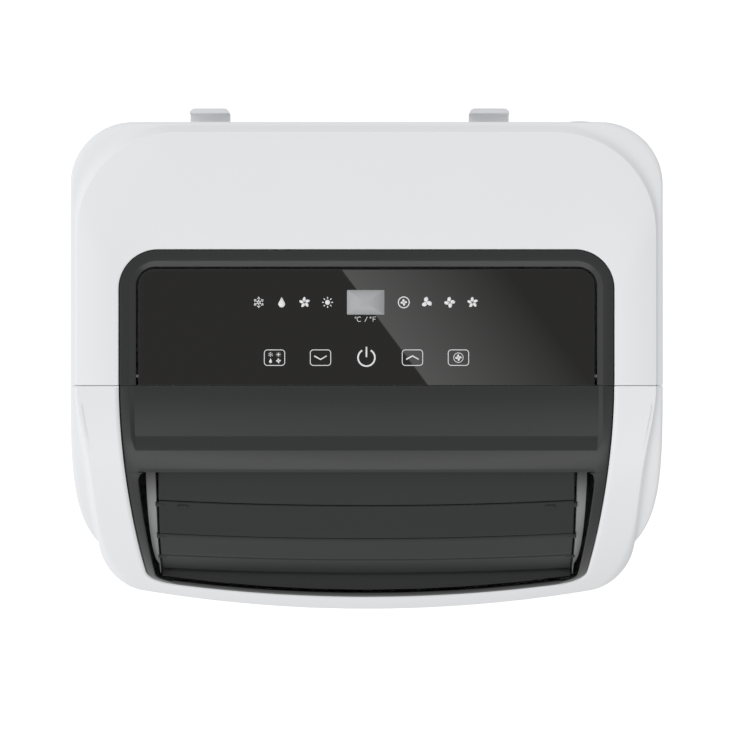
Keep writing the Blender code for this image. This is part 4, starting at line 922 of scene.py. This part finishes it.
# A rounded strip between two edge lines, bowed forwards by one minus the square of the share along it.
def bladeGrid(index):
    upper, lower = edgeLine[index], edgeLine[index + 1]
    length = np.linalg.norm(lower - upper) - 0.0004
    along = (lower - upper) / np.linalg.norm(lower - upper)
    across = np.array([-along[1], along[0]])
    across = -across if across[1] < 0 else across
    h = louvre["thick"] / 2
    turn = np.radians(np.linspace(-90, 90, 9))
    far = np.stack([length - h + h * np.cos(turn), h * np.sin(turn)], axis=-1)
    flat = np.linspace(length - h, h, 8)[1:-1]
    topSide = np.stack([flat, np.full(len(flat), h)], axis=-1)
    near = np.stack([h - h * np.cos(turn), -h * np.sin(turn)], axis=-1)
    underSide = np.stack([flat[::-1], np.full(len(flat), -h)], axis=-1)
    section = np.concatenate([far, topSide, near, underSide])
    share = np.concatenate([[-1, -1, -0.9985, -0.996], np.linspace(-0.99, 0.99, 49), [0.996, 0.9985, 1, 1]])
    scale = np.concatenate([[0, 0.7, 0.92, 1], np.ones(49), [1, 0.92, 0.7, 0]])
    centre = np.array([length / 2, 0])
    shrink = np.stack([1 - (1 - scale) * h / length * 2, scale], axis=-1)[:, None, :]
    local = np.where(scale[:, None, None] < 1, centre + (section[None] - centre) * shrink, section[None])
    local[0] = local[0] * 0 + centre
    local[-1] = local[-1] * 0 + centre
    bow = louvre["bow"] * (1 - share**2)
    x = np.broadcast_to((louvre["half"] * share)[:, None], local.shape[:2])
    y = upper[0] + along[0] * local[..., 0] + across[0] * local[..., 1] - bow[:, None]
    z = upper[1] + along[1] * local[..., 0] + across[1] * local[..., 1]
    return np.stack([x, y, z], axis=-1)


middleWay = edgeLine[-1] - edgeLine[0]
middleWay = middleWay / np.linalg.norm(middleWay)
crankWay = np.array([middleWay[1], -middleWay[0]])
crankWay = -crankWay if crankWay[1] > 0 else crankWay
for index in range(louvre["count"]):
    way = edgeLine[index + 1] - edgeLine[index]
    pivotAt = edgeLine[index] + way / np.linalg.norm(way) * louvre["pivotIn"]
    peg = pivotAt + crankWay * louvre["crank"]
    parts = [bladeGrid(index)]
    for sign in (-1, 1):
        pinFrom, pinTo = sign * (louvre["half"] - 0.004), sign * louvre["pinEnd"]
        parts.append(tube((pinFrom, *pivotAt), (pinTo, *pivotAt), louvre["pinRadius"]))
    root = pivotAt - np.array([louvre["bow"] * 0.1, 0])
    armX = louvre["linkX"] + 0.0027
    parts.append(tube((armX, *root), (armX, *(peg + crankWay * 0.0012)), 0.0013, 16))
    parts.append(tube((louvre["linkX"] - 0.0018, *peg), (armX + 0.0008, *peg), 0.0012, 16))
    if index < 2:
        clipY, clipZ = edgeLine[index] + way / np.linalg.norm(way) * 0.0045
        for sign in (-1, 1):
            spot = sign * louvre["clipX"]
            bowAt = louvre["bow"] * (1 - (spot / louvre["half"]) ** 2)
            middle = (clipY - bowAt, clipZ + louvre["clipRise"])
            clipFrom, clipTo = spot - louvre["clipHalf"], spot + louvre["clipHalf"]
            parts.append(tube((clipFrom, *middle), (clipTo, *middle), louvre["clipRadius"], 16))
    blade = outward(sheetMesh(f"louvre_blade_{index + 1}", parts, loops=[True] * len(parts)))
    node = f"louvre_{index + 1}"
    place(f"louvre_blade_{index + 1}", blade, louvreAbs, nodes[node]["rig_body"], node, sharp=40)
print("louvres ready")

cheek = {
    "inner": 0.1556,
    "wide": 0.0074,  # width of the crescent under the crossbar
    "narrow": 0.0004,  # width of its tip
    "fromDeg": 20.9,
    "toDeg": 66.5,
    "under": 0.0052,  # depth below the hood
    "deep": 0.012,
}
cheekDeg = np.linspace(cheek["fromDeg"], cheek["toDeg"], 40)
cheekShare = (cheekDeg - cheek["fromDeg"]) / (cheek["toDeg"] - cheek["fromDeg"])
# the width shrinks along a quarter circle that ends at 0.86 of the length
shrink = np.sqrt(1 - np.clip(cheekShare / 0.86, 0, 1) ** 2)
cheekWide = cheek["narrow"] + (cheek["wide"] - cheek["narrow"]) * shrink
cheekRows = []
for deg, wide in zip(np.radians(cheekDeg), cheekWide):
    edges = ((cheek["inner"], 0.0006), (cheek["inner"] + 0.0004, 0.0), (cheek["inner"] + wide, 0.0012),
             (cheek["inner"] + wide, cheek["deep"]), (cheek["inner"], cheek["deep"]))
    cheekRows.append([hoodPlace(np.array(x), deg, cheek["under"] + d) for x, d in edges])
cheekGrid = np.array(cheekRows)
cheekGrid = np.concatenate([
    np.broadcast_to(cheekGrid[:1].mean(axis=1, keepdims=True), cheekGrid[:1].shape), cheekGrid,
    np.broadcast_to(cheekGrid[-1:].mean(axis=1, keepdims=True), cheekGrid[:1].shape),
])
# Both cheeks wear the grey finish with the crossbar's painted shadow.
for label, sign in (("left", -1), ("right", 1)):
    cheekMesh = outward(sheetMesh(f"cheek_{label}", [cheekGrid * np.array([sign, 1, 1])], loops=[True]))
    place(f"cheek_{label}", cheekMesh, cheekPaintedShadowAbs, "casing", f"outlet_cheek_{label}", sharp=40)
print("cheeks ready")

# CAD pieces that keep their shape: softened edges, better finishes


# A merged copy of the node with its hard edges rounded off, trimmed first to rounded corners in plan.
def softened(node, material, width, segments=3, angle=40, planCorner=0):
    source = nodes[node]
    mesh = source.data.copy()
    mesh.name = f"{node}_fine"
    work = bmesh.new()
    work.from_mesh(mesh)
    bmesh.ops.remove_doubles(work, verts=work.verts, dist=1e-6)
    bmesh.ops.dissolve_limit(work, angle_limit=math.radians(1), verts=work.verts, edges=work.edges)
    work.to_mesh(mesh)
    work.free()
    obj = place(f"{node}_fine", mesh, material, source["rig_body"], node)
    if planCorner:
        (cx, cy), (hx, hy) = middleOf(node, 0, 1), halvesOf(node, 0, 1)
        trim = plug("trim", roundedBox(cx, cy - planCorner, hx, hy + planCorner, planCorner, 14), "Z", 0, 1)
        keep = obj.modifiers.new("trim", "BOOLEAN")
        keep.operation = "INTERSECT"
        keep.object = trim
        keep.solver = "EXACT"
        baked(obj)
        bpy.data.objects.remove(trim)
        obj.data.materials.clear()
        obj.data.materials.append(material)
        obj.data.shade_smooth()
        obj.data.set_sharp_from_angle(angle=math.radians(35))
    rounding = obj.modifiers.new("round", "BEVEL")
    rounding.width = width
    rounding.segments = segments
    rounding.limit_method = "ANGLE"
    rounding.angle_limit = math.radians(angle)
    rounding.use_clamp_overlap = True
    return obj


for node in ("cord_hook_left", "cord_hook_right"):
    softened(node, whiteAbs, 0.0009, planCorner=0.0046)
for node, material, width in (
    ("intake_cover", whiteAbs, 0.0004), ("lower_grille", whiteAbs, 0.0004),
    ("handle_cup_left", greyAbs, 0.0006), ("handle_cup_right", greyAbs, 0.0006),
):
    softened(node, material, width)

finishes = {
    "base_pan": greyAbs, "exhaust_collar": greyAbs, "exhaust_sleeve": greyAbs, "cord_gland": greyAbs,
    "drain_spigot": greyAbs, "drain_cap": tyreRubber, "control_tray": greyAbs, "outlet_duct": whiteFoam,
    "outlet_guard": darkAbs, "outlet_sill": darkAbs, "louvre_link": silverAbs, "louvre_motor": zincSteel,
    "divider_tray": whiteFoam, "blower": darkAbs, "blower_motor": zincSteel, "exhaust_fan": greyAbs,
    "exhaust_fan_motor": zincSteel, "electrical_box": greyAbs, "castor_wheel": tyreRubber,
    "castor_fork": blackSteel, "castor_axle": zincSteel, "compressor": blackSteel, "accumulator": copperTube,
    "suction_pipe": copperTube, "discharge_pipe": copperTube, "evaporator": finAluminium,
    "condenser": finAluminium, "capacitor": finAluminium, "control_board": boardGreen,
    "air_filter": filterNet,
}
for name, node in nodes.items():
    fitting = [key for key in finishes if name.startswith(key)]
    if fitting and not node.hide_render:
        node.data.materials.clear()
        node.data.materials.append(finishes[max(fitting, key=len)])
        node.data.shade_smooth()
        node.data.set_sharp_from_angle(angle=math.radians(35))
print("carried-over pieces finished")

# Camera, floor and light

studio = {
    "eye": (0, -0.0125, 4.1),
    "lens": 227.5,
    "sky": 0.875,  # radiance on average
    "lean": (-0.34, 0.04, 0.10),  # how much brighter the sky is towards +X, +Y and +Z
    "roof": 0.5,  # share of the light left in the opening straight above
    "strip": 2.0,  # radiance of the long light in front
    "card": 2.1,
}
camera = bpy.data.cameras.new("camera")
camera.lens = studio["lens"]
camera.sensor_width = 36
camera.clip_end = 60
eye = bpy.data.objects.new("camera", camera)
eye.location = studio["eye"]
bpy.context.scene.collection.objects.link(eye)
bpy.context.scene.camera = eye

floorHalf = 12.0
corners = np.array([[[-1, -1, 0], [1, -1, 0]], [[-1, 1, 0], [1, 1, 0]]], float) * floorHalf
floorMesh = facing(sheetMesh("floor", [corners]), (0, 0, -1))
floor = bpy.data.objects.new("floor", floorMesh)
bpy.context.scene.collection.objects.link(floor)
paper = bpy.data.materials.new("white_studio_paper")
paper.use_nodes = True
paperShader = paper.node_tree.nodes["Principled BSDF"]
paperShader.inputs["Base Color"].default_value = linearColour("#f0f0f0")
paperShader.inputs["Roughness"].default_value = 0.9
paperShader.inputs["Emission Color"].default_value = (1, 1, 1, 1)
paperShader.inputs["Emission Strength"].default_value = 0.5
floorMesh.materials.append(paper)

world = bpy.data.worlds.new("studio")
world.use_nodes = True
skyTree = world.node_tree
sky = skyTree.nodes["Background"]
sky.inputs["Color"].default_value = (1, 1, 1, 1)
way = addNode(skyTree, "ShaderNodeTexCoord")
lean = addNode(
    skyTree, "ShaderNodeVectorMath", {"operation": "DOT_PRODUCT", 1: studio["lean"]}, {0: (way, "Generated")}
)
level = addNode(skyTree, "ShaderNodeMath", {"operation": "ADD", 1: studio["sky"]}, {0: (lean, "Value")})
parts = addNode(skyTree, "ShaderNodeSeparateXYZ", None, {0: (way, "Generated")})
dim = addNode(
    skyTree,
    "ShaderNodeMapRange",
    {
        "interpolation_type": "SMOOTHSTEP",
        "From Min": 0.90,
        "From Max": 0.985,
        "To Min": 1.0,
        "To Max": studio["roof"],
    },
    {"Value": (parts, "Z")},
)
total = addNode(
    skyTree, "ShaderNodeMath", {"operation": "MULTIPLY"}, {0: (level, "Value"), 1: (dim, "Result")}
)
skyTree.links.new(total.outputs["Value"], sky.inputs["Strength"])
bpy.context.scene.world = world
bpy.context.scene.view_settings.view_transform = "Standard"


# An area light aimed at the middle of the casing.
def softbox(name, spot, size, power):
    data = bpy.data.lights.new(name, "AREA")
    data.size = size
    data.energy = power
    obj = bpy.data.objects.new(name, data)
    obj.location = spot
    aim = np.array([0, 0, 0.5]) - np.array(spot)
    flat = math.hypot(aim[0], aim[1])
    obj.rotation_euler = (math.atan2(flat, -aim[2]), 0, math.atan2(aim[1], aim[0]) - math.pi / 2)
    bpy.context.scene.collection.objects.link(obj)
    return obj


stripLong, stripWide = 3.0, 0.6
strip = softbox("front_strip", (0, -2.3, 3.0), stripLong, studio["strip"] * math.pi * stripLong * stripWide)
strip.data.shape = "RECTANGLE"
strip.data.size_y = stripWide
floor.visible_diffuse = False
floor.visible_glossy = False

# Card above the camera whose reflection makes the bright wedge on the touch panel: sharp on its left edge,
# fading evenly over its width.
cardHeight, cardWide = 4.7, 0.26
cardEdge = np.array([[-0.0407, 0.1439], [0.0982, -0.0421]])
along = (cardEdge[1] - cardEdge[0])
cardLine = np.stack([cardEdge[0] - along * 0.9, cardEdge[1] + along * 0.6])
cardGrid = np.zeros((2, 2, 3))
cardGrid[0, :, :2] = cardLine
cardGrid[1, :, :2] = cardLine + np.array([cardWide, 0.0])
cardGrid[..., 2] = cardHeight
cardMesh = facing(sheetMesh("sheen_card", [cardGrid]), (0, 0, 20))
card = bpy.data.objects.new("sheen_card", cardMesh)
bpy.context.scene.collection.objects.link(card)
card.visible_camera = False
card.visible_shadow = False
glow = bpy.data.materials.new("sheen_card_glow")
glow.use_nodes = True
glowTree = glow.node_tree
glowTree.nodes.clear()
slant = -along[0] / along[1]
start = cardEdge[0][0] + slant * cardEdge[0][1]
spot = addNode(glowTree, "ShaderNodeTexCoord")
beside = addNode(
    glowTree,
    "ShaderNodeVectorMath",
    {"operation": "DOT_PRODUCT", 1: (1.0, slant, 0.0)},
    {0: (spot, "Object")},
)
fade = addNode(
    glowTree,
    "ShaderNodeMapRange",
    {"From Min": start, "From Max": start + cardWide, "To Min": studio["card"], "To Max": studio["roof"]},
    {"Value": (beside, "Value")},
)
shine = addNode(glowTree, "ShaderNodeEmission", None, {"Strength": (fade, "Result")})
addNode(glowTree, "ShaderNodeOutputMaterial", None, {"Surface": (shine, "Emission")})
cardMesh.materials.append(glow)
print("studio ready")
